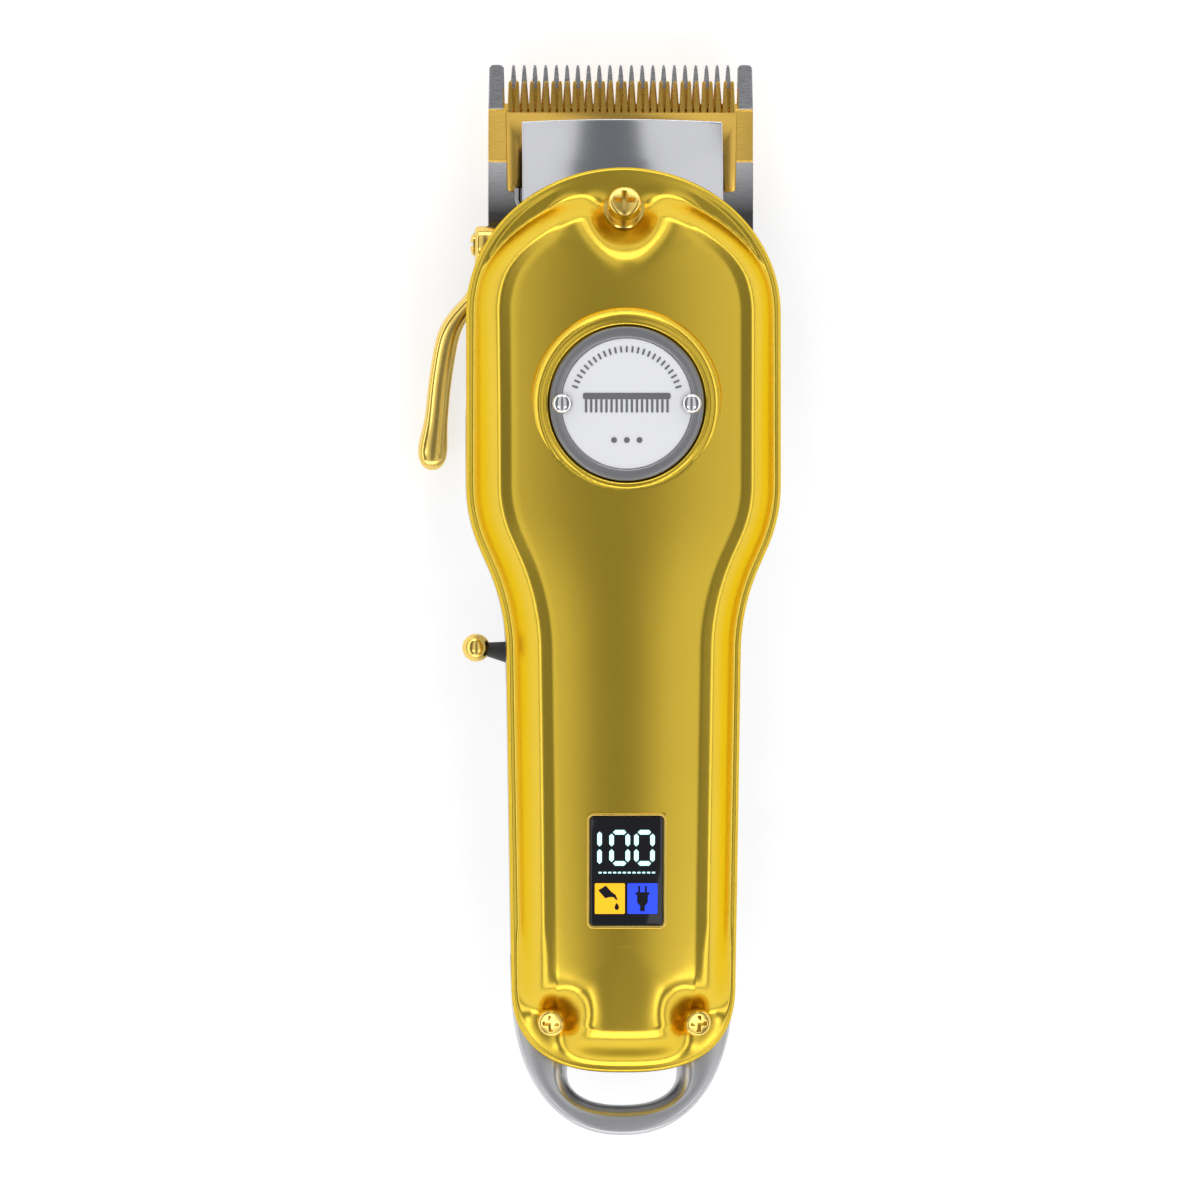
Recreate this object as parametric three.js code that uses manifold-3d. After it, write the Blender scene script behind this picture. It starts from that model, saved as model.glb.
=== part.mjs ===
// Cordless hair clipper lying on its back: +Z out of the front cover, +Y towards the blades, millimetres.
import * as THREE from "three";
import { mergeVertices } from "three/addons/utils/BufferGeometryUtils.js";
import Module from "manifold-3d";

const wasm = await Module();
wasm.setup();

// ---- driving dimensions ----
const PARTING_Z = 22;
const HEAD_HALF_WIDTH = 27.25;
const HEAD_CENTRE_Y = 49.7;
const HEAD_HALF_LENGTH = 25.2;
const WAIST_HALF_WIDTH = 20.3;
const TAIL_HALF_WIDTH = 19.4;
const TAIL_START_Y = -66;
const TAIL_LENGTH = 16;
const TAIL_POWER = 2.6;
const SHOULDER_Y = 19.9;
const SHOULDER_RADIUS = 27.3;
const WAIST_RADIUS = 37;
const WAIST_Y = -9.4;
const SHOULDER_ANGLE = THREE.MathUtils.degToRad(24);
const PANEL_INSET = 7.5;
const PANEL_CROWN = 1.6;
const SHELL_WALL = 1.8;
const REAR_NOSE_Y = 60.7;
const REAR_NOSE_HALF_WIDTH = 20.9;
const BLADE_HALF_WIDTH = 23;
const COMB_BOTTOM_Z = 9.7;
const COMB_TOP_Z = 13.7;
const COMB_TIP_Y = 92.95;
const COMB_REAR_Y = 62.7;
const CUTTER_BOTTOM_Z = 14;
const CUTTER_TOP_Z = 16.6;
const CUTTER_TIP_Y = 90.1;
const CUTTER_HALF_WIDTH = 20.1;
const MOTOR_AXIS_Z = 15.5;
const MOTOR_RADIUS = 12.5;
const ECCENTRICITY = 1;
const LEVER_AXIS = { y: 61.6, z: 17.8 };
const LEVER_REST_ANGLE = THREE.MathUtils.degToRad(-17);
const CAM_OFFSET = 3.2;
const CAM_REST_ANGLE = THREE.MathUtils.degToRad(13.5);
const BADGE_Y = 33.85;
const DISPLAY_Y = -46.97;
const TOGGLE = { x: -17.3, y: -9.5, z: 17 };
const TOGGLE_REST_ANGLE = THREE.MathUtils.degToRad(8);
const LOOP_BOTTOM_Z = 14.3;
const LOOP_TOP_Z = 21.7;
const SOCKET_Z = 10.2;
const SKIN_STEPS = 22;
const ABOVE_ALL_Z = 60;
const BADGE_WELL_RADIUS = 13.6;
const RIVET_X = 11.2;
const BLADE_SCREW = { x: 12.5, y: 66.5 };
const BRIDGE_LEG = { innerX: 11.4, outerX: 14, rearY: 50.8, frontY: 53.4 };
const BRIDGE_BOTTOM_Z = 18.7;
const BRIDGE_TOP_Z = 20.3;
const FORK_TOP_Z = 20.4;
const SPRING_Z = 17.7;
const SPRING_RADIUS = 0.75;

// ---- materials ----
const finish = (color, roughness, metalness) =>
  new THREE.MeshStandardMaterial({ color, roughness, metalness });
const gold = finish(0xc4a02a, 0.25, 1);
const silver = finish(0xa8a8a8, 0.35, 1);
const steel = finish(0x9a9a9c, 0.3, 1);
const chrome = finish(0xd8d8da, 0.1, 1);
const blackPlastic = finish(0x1c1c1e, 0.5, 0);
const whitePlastic = finish(0xf0f0f0, 0.4, 0);
const boardGreen = finish(0x1f5a34, 0.6, 0);
const lensBlack = finish(0x0a0a0c, 0.08, 0);
const cellWrap = finish(0x2f5fa8, 0.45, 0);
const brass = finish(0xb8923a, 0.3, 1);

// ---- solids ----
function solidOf(geometry) {
  const plain = geometry.index ? geometry.toNonIndexed() : geometry.clone();
  plain.deleteAttribute("normal");
  plain.deleteAttribute("uv");
  const merged = mergeVertices(plain, 1e-4);
  const corners = merged.index.array;
  const kept = [];
  for (let i = 0; i < corners.length; i += 3) {
    const [a, b, c] = corners.slice(i, i + 3);
    if (a !== b && b !== c && a !== c) kept.push(a, b, c);
  }
  return new wasm.Manifold(
    new wasm.Mesh({
      numProp: 3,
      vertProperties: merged.attributes.position.array,
      triVerts: new Uint32Array(kept),
    }),
  );
}

function meshOf(name, solid, material) {
  const made = solid.getMesh();
  const geometry = new THREE.BufferGeometry();
  geometry.setAttribute("position", new THREE.BufferAttribute(made.vertProperties, 3));
  geometry.setIndex(new THREE.BufferAttribute(made.triVerts, 1));
  geometry.computeVertexNormals();
  const mesh = new THREE.Mesh(geometry, material);
  mesh.name = name;
  return mesh;
}

const vector = (x, y, z) => new THREE.Vector3(x, y, z);
const join = (first, ...others) => others.reduce((sum, piece) => sum.add(piece), first);
const cut = (first, ...others) => others.reduce((left, piece) => left.subtract(piece), first);

function box(x0, x1, y0, y1, z0, z1) {
  const geometry = new THREE.BoxGeometry(x1 - x0, y1 - y0, z1 - z0);
  geometry.translate((x0 + x1) / 2, (y0 + y1) / 2, (z0 + z1) / 2);
  return solidOf(geometry);
}

// A box on one side of the middle plane, given by how far out it starts and ends.
const SIDES = [-1, 1];
function sideBox(side, inner, outer, y0, y1, z0, z1) {
  return side < 0 ? box(-outer, -inner, y0, y1, z0, z1) : box(inner, outer, y0, y1, z0, z1);
}

function rod(from, to, radius, segments = 18, endRadius = radius) {
  const along = to.clone().sub(from);
  const geometry = new THREE.CylinderGeometry(endRadius, radius, along.length(), segments);
  const turn = new THREE.Quaternion().setFromUnitVectors(vector(0, 1, 0), along.clone().normalize());
  geometry.applyQuaternion(turn);
  geometry.translate(...from.clone().addScaledVector(along, 0.5).toArray());
  return solidOf(geometry);
}

function ball(centre, radius, segments = 16) {
  const geometry = new THREE.SphereGeometry(radius, segments, segments / 2);
  geometry.translate(...centre.toArray());
  return solidOf(geometry);
}

function prism(points, z0, z1) {
  const geometry = new THREE.ExtrudeGeometry(new THREE.Shape(points), {
    depth: z1 - z0,
    bevelEnabled: false,
    curveSegments: 12,
  });
  geometry.translate(0, 0, z0);
  return solidOf(geometry);
}

function roundedPlate(halfX, halfY, corner, z0, z1, x = 0, y = 0) {
  const shape = new THREE.Shape();
  const arcs = [
    [halfX - corner, halfY - corner, 0],
    [corner - halfX, halfY - corner, 90],
    [corner - halfX, corner - halfY, 180],
    [halfX - corner, corner - halfY, 270],
  ];
  for (const [cx, cy, start] of arcs) {
    const from = THREE.MathUtils.degToRad(start);
    shape.absarc(x + cx, y + cy, corner, from, from + Math.PI / 2, false);
  }
  return prism(shape.getPoints(5), z0, z1);
}

function turned(profile, x, y, segments = 32) {
  const geometry = new THREE.LatheGeometry(
    profile.map(([r, z]) => new THREE.Vector2(r, z)),
    segments,
  );
  geometry.rotateX(Math.PI / 2);
  geometry.translate(x, y, 0);
  return solidOf(geometry);
}

function tilted(solid, angle, centre, axis) {
  const about = new THREE.Matrix4()
    .makeTranslation(centre.x, centre.y, centre.z)
    .multiply(new THREE.Matrix4().makeRotationAxis(axis, angle))
    .multiply(new THREE.Matrix4().makeTranslation(-centre.x, -centre.y, -centre.z));
  return solid.transform(about.elements);
}

// ---- the body outline, right half from the nose to the tail ----
class SuperEllipseQuarter extends THREE.Curve {
  getPoint(t, target = new THREE.Vector2()) {
    const angle = (t * Math.PI) / 2;
    const x = TAIL_HALF_WIDTH * Math.cos(angle) ** (2 / TAIL_POWER);
    const y = TAIL_START_Y - TAIL_LENGTH * Math.sin(angle) ** (2 / TAIL_POWER);
    return target.set(t === 1 ? 0 : x, y);
  }
}

function sideOfBody(noseCurves) {
  const arcEndX = HEAD_HALF_WIDTH - SHOULDER_RADIUS * (1 - Math.cos(SHOULDER_ANGLE));
  const arcEndY = SHOULDER_Y - SHOULDER_RADIUS * Math.sin(SHOULDER_ANGLE);
  const waistX = WAIST_HALF_WIDTH + WAIST_RADIUS * (1 - Math.cos(SHOULDER_ANGLE));
  const waistY = WAIST_Y + WAIST_RADIUS * Math.sin(SHOULDER_ANGLE);
  const side = new THREE.CurvePath();
  noseCurves.forEach((curve) => side.add(curve));
  side.add(
    new THREE.EllipseCurve(
      HEAD_HALF_WIDTH - SHOULDER_RADIUS, SHOULDER_Y, SHOULDER_RADIUS, SHOULDER_RADIUS,
      0, -SHOULDER_ANGLE, true,
    ),
  );
  side.add(new THREE.LineCurve(new THREE.Vector2(arcEndX, arcEndY), new THREE.Vector2(waistX, waistY)));
  side.add(
    new THREE.EllipseCurve(
      WAIST_HALF_WIDTH + WAIST_RADIUS, WAIST_Y, WAIST_RADIUS, WAIST_RADIUS,
      Math.PI - SHOULDER_ANGLE, Math.PI, false,
    ),
  );
  side.add(
    new THREE.LineCurve(
      new THREE.Vector2(WAIST_HALF_WIDTH, WAIST_Y),
      new THREE.Vector2(TAIL_HALF_WIDTH, TAIL_START_Y),
    ),
  );
  side.add(new SuperEllipseQuarter());
  return side;
}

function frontSide() {
  return sideOfBody([
    new THREE.EllipseCurve(0, HEAD_CENTRE_Y, HEAD_HALF_WIDTH, HEAD_HALF_LENGTH, Math.PI / 2, 0, true),
    new THREE.LineCurve(
      new THREE.Vector2(HEAD_HALF_WIDTH, HEAD_CENTRE_Y),
      new THREE.Vector2(HEAD_HALF_WIDTH, SHOULDER_Y),
    ),
  ]);
}

function rearSide() {
  const corner = 11.8;
  const flat = REAR_NOSE_HALF_WIDTH - corner;
  const cheekY = 31;
  return sideOfBody([
    new THREE.LineCurve(new THREE.Vector2(0, REAR_NOSE_Y), new THREE.Vector2(flat, REAR_NOSE_Y)),
    new THREE.EllipseCurve(flat, REAR_NOSE_Y - corner, corner, corner, Math.PI / 2, 0, true),
    new THREE.CubicBezierCurve(
      new THREE.Vector2(REAR_NOSE_HALF_WIDTH, REAR_NOSE_Y - corner),
      new THREE.Vector2(REAR_NOSE_HALF_WIDTH, 42),
      new THREE.Vector2(HEAD_HALF_WIDTH, 42),
      new THREE.Vector2(HEAD_HALF_WIDTH, cheekY),
    ),
    new THREE.LineCurve(
      new THREE.Vector2(HEAD_HALF_WIDTH, cheekY),
      new THREE.Vector2(HEAD_HALF_WIDTH, SHOULDER_Y),
    ),
  ]);
}

// Points and inward normals round the closed outline, nose first, clockwise seen from above.
function outline(side, steps) {
  const right = [];
  for (let i = 0; i <= steps; i += 1) {
    const t = i / steps;
    const point = side.getPoint(t);
    const ahead = side.getPoint(Math.min(t + 1e-3, 1));
    const behind = side.getPoint(Math.max(t - 1e-3, 0));
    const along = ahead.sub(behind).normalize();
    const onAxis = i === 0 || i === steps;
    const inward = onAxis ? new THREE.Vector2(0, i === 0 ? -1 : 1) : new THREE.Vector2(along.y, -along.x);
    right.push({ point: new THREE.Vector2(onAxis ? 0 : point.x, point.y), inward });
  }
  const left = right
    .slice(1, -1)
    .reverse()
    .map(({ point, inward }) => ({
      point: new THREE.Vector2(-point.x, point.y),
      inward: new THREE.Vector2(-inward.x, inward.y),
    }));
  return [...right, ...left];
}

// A skin of rings that step inwards from the outline, then close on a spine along the middle.
function skinRings(loop, rings, spine) {
  const rows = rings.map(({ inset, height }) =>
    loop.map(({ point, inward }) => {
      const x = point.x + inward.x * inset;
      const y = point.y + inward.y * inset;
      return vector(x, y, height(y));
    }),
  );
  const last = rows[rows.length - 1];
  for (const share of spine.shares) {
    rows.push(
      last.map((edge) => {
        const middleY = THREE.MathUtils.clamp(edge.y, spine.lowY, spine.highY);
        const x = edge.x * (1 - share);
        const y = THREE.MathUtils.lerp(edge.y, middleY, share);
        return vector(x, y, spine.height(y, share));
      }),
    );
  }
  return rows;
}

function closedLoft(rows, capFlipped) {
  const corners = [];
  const put = (a, b, c) => corners.push(...(capFlipped ? [a, c, b] : [a, b, c]));
  for (let r = 0; r + 1 < rows.length; r += 1) {
    const count = rows[r].length;
    for (let i = 0; i < count; i += 1) {
      const next = (i + 1) % count;
      put(rows[r][i], rows[r + 1][i], rows[r][next]);
      put(rows[r][next], rows[r + 1][i], rows[r + 1][next]);
    }
  }
  return new THREE.BufferGeometry().setFromPoints(corners);
}

// ---- front shell ----
const ramp = (value, low, high) => THREE.MathUtils.smoothstep(value, low, high);
const flangeZ = (y) => 25.6 - 1.2 * ramp(y, 40, 74) - 0.8 * ramp(-y, 40, 80);
const shoulderZ = (y) => 35.6 - 7.4 * (Math.max(y - 14, 0) / 61) ** 2 - 4.6 * (Math.max(-y - 5, 0) / 77) ** 2;
const rise = (y) => shoulderZ(y) - flangeZ(y);
const panelZ = (y) => shoulderZ(y) + PANEL_CROWN;

function frontShell() {
  const loop = outline(frontSide(), SKIN_STEPS);
  const outer = skinRings(
    loop,
    [
      { inset: 0, height: () => PARTING_Z },
      { inset: 0, height: (y) => flangeZ(y) - 0.5 },
      { inset: 0.5, height: flangeZ },
      { inset: 1.6, height: (y) => flangeZ(y) + 0.3 },
      { inset: 2.4, height: (y) => flangeZ(y) + 0.35 * rise(y) },
      { inset: 3.5, height: (y) => flangeZ(y) + 0.68 * rise(y) },
      { inset: 5.2, height: (y) => flangeZ(y) + 0.92 * rise(y) },
      { inset: PANEL_INSET, height: shoulderZ },
    ],
    {
      shares: [0.4, 0.75, 1],
      lowY: -62,
      highY: 50,
      height: (y, share) => shoulderZ(y) + PANEL_CROWN * (1 - (1 - share) ** 2),
    },
  );
  const inner = skinRings(
    loop,
    [
      { inset: SHELL_WALL, height: () => PARTING_Z },
      { inset: SHELL_WALL, height: (y) => flangeZ(y) - 1.5 },
      { inset: 4.2, height: (y) => flangeZ(y) + 0.3 * rise(y) },
      { inset: 6, height: (y) => flangeZ(y) + 0.68 * rise(y) },
      { inset: PANEL_INSET + 1, height: (y) => shoulderZ(y) - SHELL_WALL },
    ],
    {
      shares: [0.5, 1],
      lowY: -62,
      highY: 50,
      height: (y, share) => shoulderZ(y) - SHELL_WALL + PANEL_CROWN * (1 - (1 - share) ** 2),
    },
  );
  let shell = solidOf(closedLoft([...inner.reverse(), ...outer], false));
  const justInside = loop.map(({ point }) => point.clone().multiplyScalar(0.995));
  const withinBody = prism(justInside, PARTING_Z, ABOVE_ALL_Z);
  for (const screw of CASE_SCREWS) {
    const seat = screw.top.clone().addScaledVector(screw.axis, -screw.headHeight);
    const foot = screwPoint(PARTING_Z + 0.6, screw);
    const post = rod(foot.clone().addScaledVector(screw.axis, -3), seat, screw.headRadius + 1, 16);
    const floor = rod(seat.clone().addScaledVector(screw.axis, -1.8), seat, screw.notchRadius + 1.5, 20);
    shell = shell.add(join(post, floor).intersect(withinBody));
    const far = seat.clone().addScaledVector(screw.axis, 14);
    const outward = vector(screw.axis.x, screw.axis.y, 0).normalize().multiplyScalar(3);
    shell = shell.subtract(rod(seat, far, screw.notchRadius, 20));
    shell = shell.subtract(rod(seat.clone().add(outward), far.clone().add(outward), screw.notchRadius, 20));
    shell = shell.subtract(rod(foot.clone().addScaledVector(screw.axis, -9), far, 1.9, 16));
  }
  const top = panelZ(BADGE_Y);
  const lipSection = [
    [BADGE_WELL_RADIUS, top - 1.6],
    [15.75, top - 1.6],
    [15.75, top + 0.2],
    [14.8, top + 0.8],
    [BADGE_WELL_RADIUS, top + 0.5],
    [BADGE_WELL_RADIUS, top - 1.6],
  ];
  const lip = turned(lipSection, 0, BADGE_Y);
  const floorZ = top - 1.1;
  const well = rod(vector(0, BADGE_Y, floorZ), vector(0, BADGE_Y, ABOVE_ALL_Z), BADGE_WELL_RADIUS, 32);
  const backing = rod(vector(0, BADGE_Y, top - 3), vector(0, BADGE_Y, floorZ), 14, 32);
  const displayWindow = roundedPlate(7.15, 10.25, 1.2, PARTING_Z + 8, ABOVE_ALL_Z, 0, DISPLAY_Y);
  return cut(join(shell, lip, backing), well, displayWindow, ...rivetShanks(1.15));
}

// ---- case screws: tilted outwards at the nose and at both tail corners ----
function caseScrew(name, x, y, z, leanX, leanY, leanDegrees, headRadius, headHeight, notchRadius) {
  const lean = THREE.MathUtils.degToRad(leanDegrees);
  const length = Math.hypot(leanX, leanY);
  const sine = Math.sin(lean) / length;
  const axis = vector(leanX * sine, leanY * sine, Math.cos(lean));
  return { name, axis, top: vector(x, y, z), headRadius, headHeight, notchRadius };
}
const CASE_SCREWS = [
  caseScrew("case_screw_top", 0, 69.2, 28.4, 0, 1, 28, 2.95, 3.6, 6.4),
  caseScrew("case_screw_left", -12.85, -73.5, 28.6, -1, -1, 18, 2.4, 3.4, 4.4),
  caseScrew("case_screw_right", 12.85, -73.5, 28.6, 1, -1, 18, 2.4, 3.4, 4.4),
];

// The point on a screw's axis at a given height.
const screwPoint = (z, screw = CASE_SCREWS[0]) =>
  screw.top.clone().addScaledVector(screw.axis, (z - screw.top.z) / screw.axis.z);

function screwSolid(screw, footZ) {
  const seat = screw.top.clone().addScaledVector(screw.axis, 0.15 - screw.headHeight);
  const foot = seat.clone().addScaledVector(screw.axis, -(seat.z - footZ) / screw.axis.z);
  const head = rod(seat, screw.top, screw.headRadius, 24);
  const shank = rod(foot, seat.clone().addScaledVector(screw.axis, 0.2), 1.3, 12);
  const turn = new THREE.Quaternion().setFromUnitVectors(vector(0, 0, 1), screw.axis);
  const arm = (width, depth) => {
    const geometry = new THREE.BoxGeometry(width, depth, 2.4);
    geometry.applyQuaternion(turn);
    geometry.translate(...screw.top.toArray());
    return solidOf(geometry);
  };
  const reach = screw.headRadius * 1.25;
  return cut(join(head, shank), arm(reach, 0.8), arm(0.8, reach));
}

// ---- rear shell ----
const rearLift = (y) => {
  const nose = Math.max(y - 28, 0) / (REAR_NOSE_Y - 28);
  const tail = Math.max(-45 - y, 0) / 37;
  return 9.2 * nose ** 2 + 3.4 * tail ** 2;
};
const rearZ = (level) => (y) => rearLift(y) + (1 - rearLift(y) / PARTING_Z) * level;

function rearShell() {
  const loop = outline(rearSide(), SKIN_STEPS);
  const profile = (inset, level) => ({ inset, height: rearZ(level) });
  const rim = PARTING_Z - 0.3;
  const outer = skinRings(
    loop,
    [profile(0, rim), profile(0.3, 16), profile(1.4, 9), profile(4.2, 3.4), profile(8, 0.7), profile(11, 0)],
    { shares: [1], lowY: -62, highY: 46, height: (y) => rearZ(0)(y) },
  );
  const inner = skinRings(
    loop,
    [profile(2, rim), profile(2.3, 16), profile(3.4, 10), profile(6.4, 5), profile(11, 2)],
    { shares: [1], lowY: -62, highY: 46, height: (y) => rearZ(2)(y) },
  );
  const skin = solidOf(closedLoft([...inner.reverse(), ...outer], true));
  const tailScrews = CASE_SCREWS.slice(1);
  const screwPosts = tailScrews.map((screw) => rod(screwPoint(4.2, screw), screwPoint(13.6, screw), 2.7, 16));
  const screwBores = tailScrews.map((screw) => rod(screwPoint(6.4, screw), screwPoint(14, screw), 1.5, 12));
  const bridgePosts = SIDES.map((side) =>
    sideBox(side, BRIDGE_LEG.innerX, BRIDGE_LEG.outerX, BRIDGE_LEG.rearY, BRIDGE_LEG.frontY, 7.4, 11.2));
  const noseOpening = join(box(-30, 30, 54.4, 70, 13.6, 30), box(-18.8, 18.8, 53.8, 70, 10.2, 30));
  const loopRecess = box(-30, 30, -95, -61.6, LOOP_BOTTOM_Z - 0.3, 30);
  const socketHole = rod(vector(0, -90, SOCKET_Z), vector(0, -76, SOCKET_Z), 3.9, 20);
  const toggleSlot = box(-26, -15, TOGGLE.y - 4.6, TOGGLE.y + 4.6, TOGGLE.z - 2.4, TOGGLE.z + 2.4);
  const opened = cut(skin, noseOpening, loopRecess);
  return cut(join(opened, ...screwPosts, ...bridgePosts), ...screwBores, socketHole, toggleSlot);
}

function hangingLoop() {
  const steps = 40;
  const bulge = (value, power) => Math.sign(value) * Math.abs(value) ** (2 / power);
  const outer = { half: 19.2, length: 26.95, startY: -66, power: 2.25 };
  const eye = { half: 9.6, halfLength: 5.8, y: -82, power: 2.3 };
  const rim = [new THREE.Vector2(-19.3, -62), new THREE.Vector2(19.3, -62)];
  const hole = [];
  for (let i = 0; i <= steps; i += 1) {
    const angle = (i / steps) * Math.PI;
    const x = outer.half * bulge(Math.cos(angle), outer.power);
    rim.push(new THREE.Vector2(x, outer.startY - outer.length * bulge(Math.sin(angle), outer.power)));
  }
  for (let i = 0; i < 2 * steps; i += 1) {
    const angle = (i / steps) * Math.PI;
    const x = eye.half * bulge(Math.cos(angle), eye.power);
    hole.push(new THREE.Vector2(x, eye.y + eye.halfLength * bulge(Math.sin(angle), eye.power)));
  }
  const plate = prism(rim, LOOP_BOTTOM_Z, LOOP_TOP_Z);
  const through = prism(hole, LOOP_BOTTOM_Z - 2, LOOP_TOP_Z + 2);
  const wellOpening = box(-10.6, 10.6, -70, -60, LOOP_BOTTOM_Z - 2, LOOP_TOP_Z + 2);
  const screwHoles = CASE_SCREWS.slice(1).map((screw) =>
    rod(screw.top.clone().addScaledVector(screw.axis, -20), screw.top, 1.6, 14));
  return cut(plate, through, wellOpening, ...screwHoles);
}

// ---- badge and display ----
function rivetShanks(radius) {
  return SIDES.map((side) =>
    rod(vector(side * RIVET_X, BADGE_Y, 28), vector(side * RIVET_X, BADGE_Y, 45), radius, 12));
}

function badgeRing() {
  const top = panelZ(BADGE_Y);
  const section = [
    [11.6, top - 0.8],
    [13.3, top - 0.8],
    [13.3, top + 0.1],
    [12.9, top + 0.4],
    [11.6, top + 0.4],
    [11.6, top - 0.8],
  ];
  return cut(turned(section, 0, BADGE_Y), ...rivetShanks(1.2));
}

function badgeDisc() {
  const top = panelZ(BADGE_Y);
  const disc = rod(vector(0, BADGE_Y, top - 0.8), vector(0, BADGE_Y, top + 0.1), 11.3, 32);
  return cut(disc, ...rivetShanks(1.2));
}

function badgeRivet(side) {
  const base = panelZ(BADGE_Y) + 0.7;
  const section = [
    [0, base - 3.4],
    [0.9, base - 3.4],
    [0.9, base],
    [1.85, base],
    [1.7, base + 0.6],
    [1.1, base + 1.15],
    [0, base + 1.35],
  ];
  return turned(section, side * RIVET_X, BADGE_Y, 16);
}

function displayBezel() {
  const top = panelZ(DISPLAY_Y);
  const frame = roundedPlate(6.9, 10, 1, top - 3.2, top + 0.35, 0, DISPLAY_Y);
  return cut(frame, roundedPlate(6.5, 9.5, 0.8, top - 5, top + 3, 0, DISPLAY_Y));
}

function displayLens() {
  const top = panelZ(DISPLAY_Y);
  return roundedPlate(6.3, 9.3, 0.7, top - 2, top + 0.05, 0, DISPLAY_Y);
}

function displayBoard() {
  const top = panelZ(DISPLAY_Y);
  return box(-6.2, 6.2, DISPLAY_Y - 9.2, DISPLAY_Y + 9.2, top - 4, top - 2.4);
}

// ---- blades ----
// Comb outline: one wide round-ended tooth on each side and finer tapered teeth between them.
function combBlade() {
  const wide = 2.8;
  const pitch = 1.865;
  const teeth = 21;
  const rootY = COMB_TIP_Y - 7.6;
  const points = [
    new THREE.Vector2(-BLADE_HALF_WIDTH, COMB_REAR_Y),
    new THREE.Vector2(BLADE_HALF_WIDTH, COMB_REAR_Y),
  ];
  const endTooth = (side) => {
    const outer = side * BLADE_HALF_WIDTH;
    const inner = side * (BLADE_HALF_WIDTH - wide);
    return [
      new THREE.Vector2(outer, COMB_TIP_Y - 1.2),
      new THREE.Vector2(side * (BLADE_HALF_WIDTH - 0.8), COMB_TIP_Y),
      new THREE.Vector2(side * (BLADE_HALF_WIDTH - wide + 0.7), COMB_TIP_Y),
      new THREE.Vector2(inner, COMB_TIP_Y - 1.2),
      new THREE.Vector2(inner, rootY),
    ];
  };
  points.push(...endTooth(1));
  for (let i = 0; i < teeth; i += 1) {
    const x = (0.5 * (teeth - 1) - i) * pitch;
    points.push(new THREE.Vector2(x + 0.62, rootY), new THREE.Vector2(x + 0.3, COMB_TIP_Y),
      new THREE.Vector2(x - 0.3, COMB_TIP_Y), new THREE.Vector2(x - 0.62, rootY));
  }
  points.push(...endTooth(-1).reverse());
  const plate = prism(points, COMB_BOTTOM_Z, COMB_TOP_Z);
  const bevel = prismAcross([[COMB_TIP_Y + 1, COMB_BOTTOM_Z - 2], [COMB_TIP_Y + 1, COMB_TOP_Z - 0.8],
    [COMB_TIP_Y, COMB_TOP_Z - 0.8], [78, COMB_BOTTOM_Z], [78, COMB_BOTTOM_Z - 2]]);
  const bandFloor = COMB_TOP_Z - 0.3;
  const bandTop = COMB_TOP_Z + 1;
  const band = prismAcross([[76, bandTop], [85.2, bandTop], [85.2, bandFloor], [76, bandFloor]]);
  const wells = SIDES.map((side) => join(
    bladeScrewRod(side, 0, COMB_BOTTOM_Z + 1.9, 3.1),
    bladeScrewRod(side, 0, 20, 1.8)));
  return cut(plate, bevel, band, ...wells);
}

// A prism along X whose section is a list of [y, z] corners.
function prismAcross(section, halfWidth = 30) {
  const geometry = new THREE.ExtrudeGeometry(
    new THREE.Shape(section.map(([y, z]) => new THREE.Vector2(y, z))),
    { depth: 2 * halfWidth, bevelEnabled: false },
  );
  const toAcross = new THREE.Matrix4().set(0, 0, 1, -halfWidth, 1, 0, 0, 0, 0, 1, 0, 0, 0, 0, 0, 1);
  geometry.applyMatrix4(toAcross);
  return solidOf(geometry);
}

function cutterBlade() {
  const pitch = 1.247;
  const teeth = 32;
  const rootY = CUTTER_TIP_Y - 5.6;
  const half = CUTTER_HALF_WIDTH;
  const legY = 70.8;
  const legInner = half - 3;
  const points = [
    [half - 0.4, legY + 1], [half - 1.2, legY], [legInner + 0.6, legY], [legInner, legY + 1], [legInner, 75],
    [3.8, 75], [3.8, 71.4], [-3.8, 71.4], [-3.8, 75],
    [-legInner, 75], [-legInner, legY + 1], [-legInner - 0.6, legY], [1.2 - half, legY],
    [0.4 - half, legY + 1], [-half, rootY],
  ].map(([x, y]) => new THREE.Vector2(x, y));
  for (let i = 0; i < teeth; i += 1) {
    const x = (i - 0.5 * (teeth - 1)) * pitch;
    points.push(new THREE.Vector2(x - 0.45, rootY), new THREE.Vector2(x - 0.22, CUTTER_TIP_Y),
      new THREE.Vector2(x + 0.22, CUTTER_TIP_Y), new THREE.Vector2(x + 0.45, rootY));
  }
  points.push(new THREE.Vector2(half, rootY));
  const plate = prism(points, CUTTER_BOTTOM_Z, CUTTER_TOP_Z);
  const bevel = prismAcross([[CUTTER_TIP_Y + 1, CUTTER_TOP_Z + 1], [82, CUTTER_TOP_Z + 1], [82, CUTTER_TOP_Z],
    [CUTTER_TIP_Y, CUTTER_BOTTOM_Z + 0.6], [CUTTER_TIP_Y + 1, CUTTER_BOTTOM_Z + 0.6]]);
  return cut(plate, bevel);
}

// An upright rod on the axis of one blade screw.
function bladeScrewRod(side, z0, z1, radius) {
  const x = side * BLADE_SCREW.x;
  return rod(vector(x, BLADE_SCREW.y, z0), vector(x, BLADE_SCREW.y, z1), radius, 18);
}

function bladeScrew(side) {
  const x = side * BLADE_SCREW.x;
  const head = bladeScrewRod(side, COMB_BOTTOM_Z + 0.2, COMB_BOTTOM_Z + 1.7, 2.8);
  const shank = bladeScrewRod(side, COMB_BOTTOM_Z + 1, 16, 1.5);
  const { y } = BLADE_SCREW;
  const slot = box(x - 3, x + 3, y - 0.4, y + 0.4, COMB_BOTTOM_Z - 1, COMB_BOTTOM_Z + 0.9);
  return cut(join(head, shank), slot);
}

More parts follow.
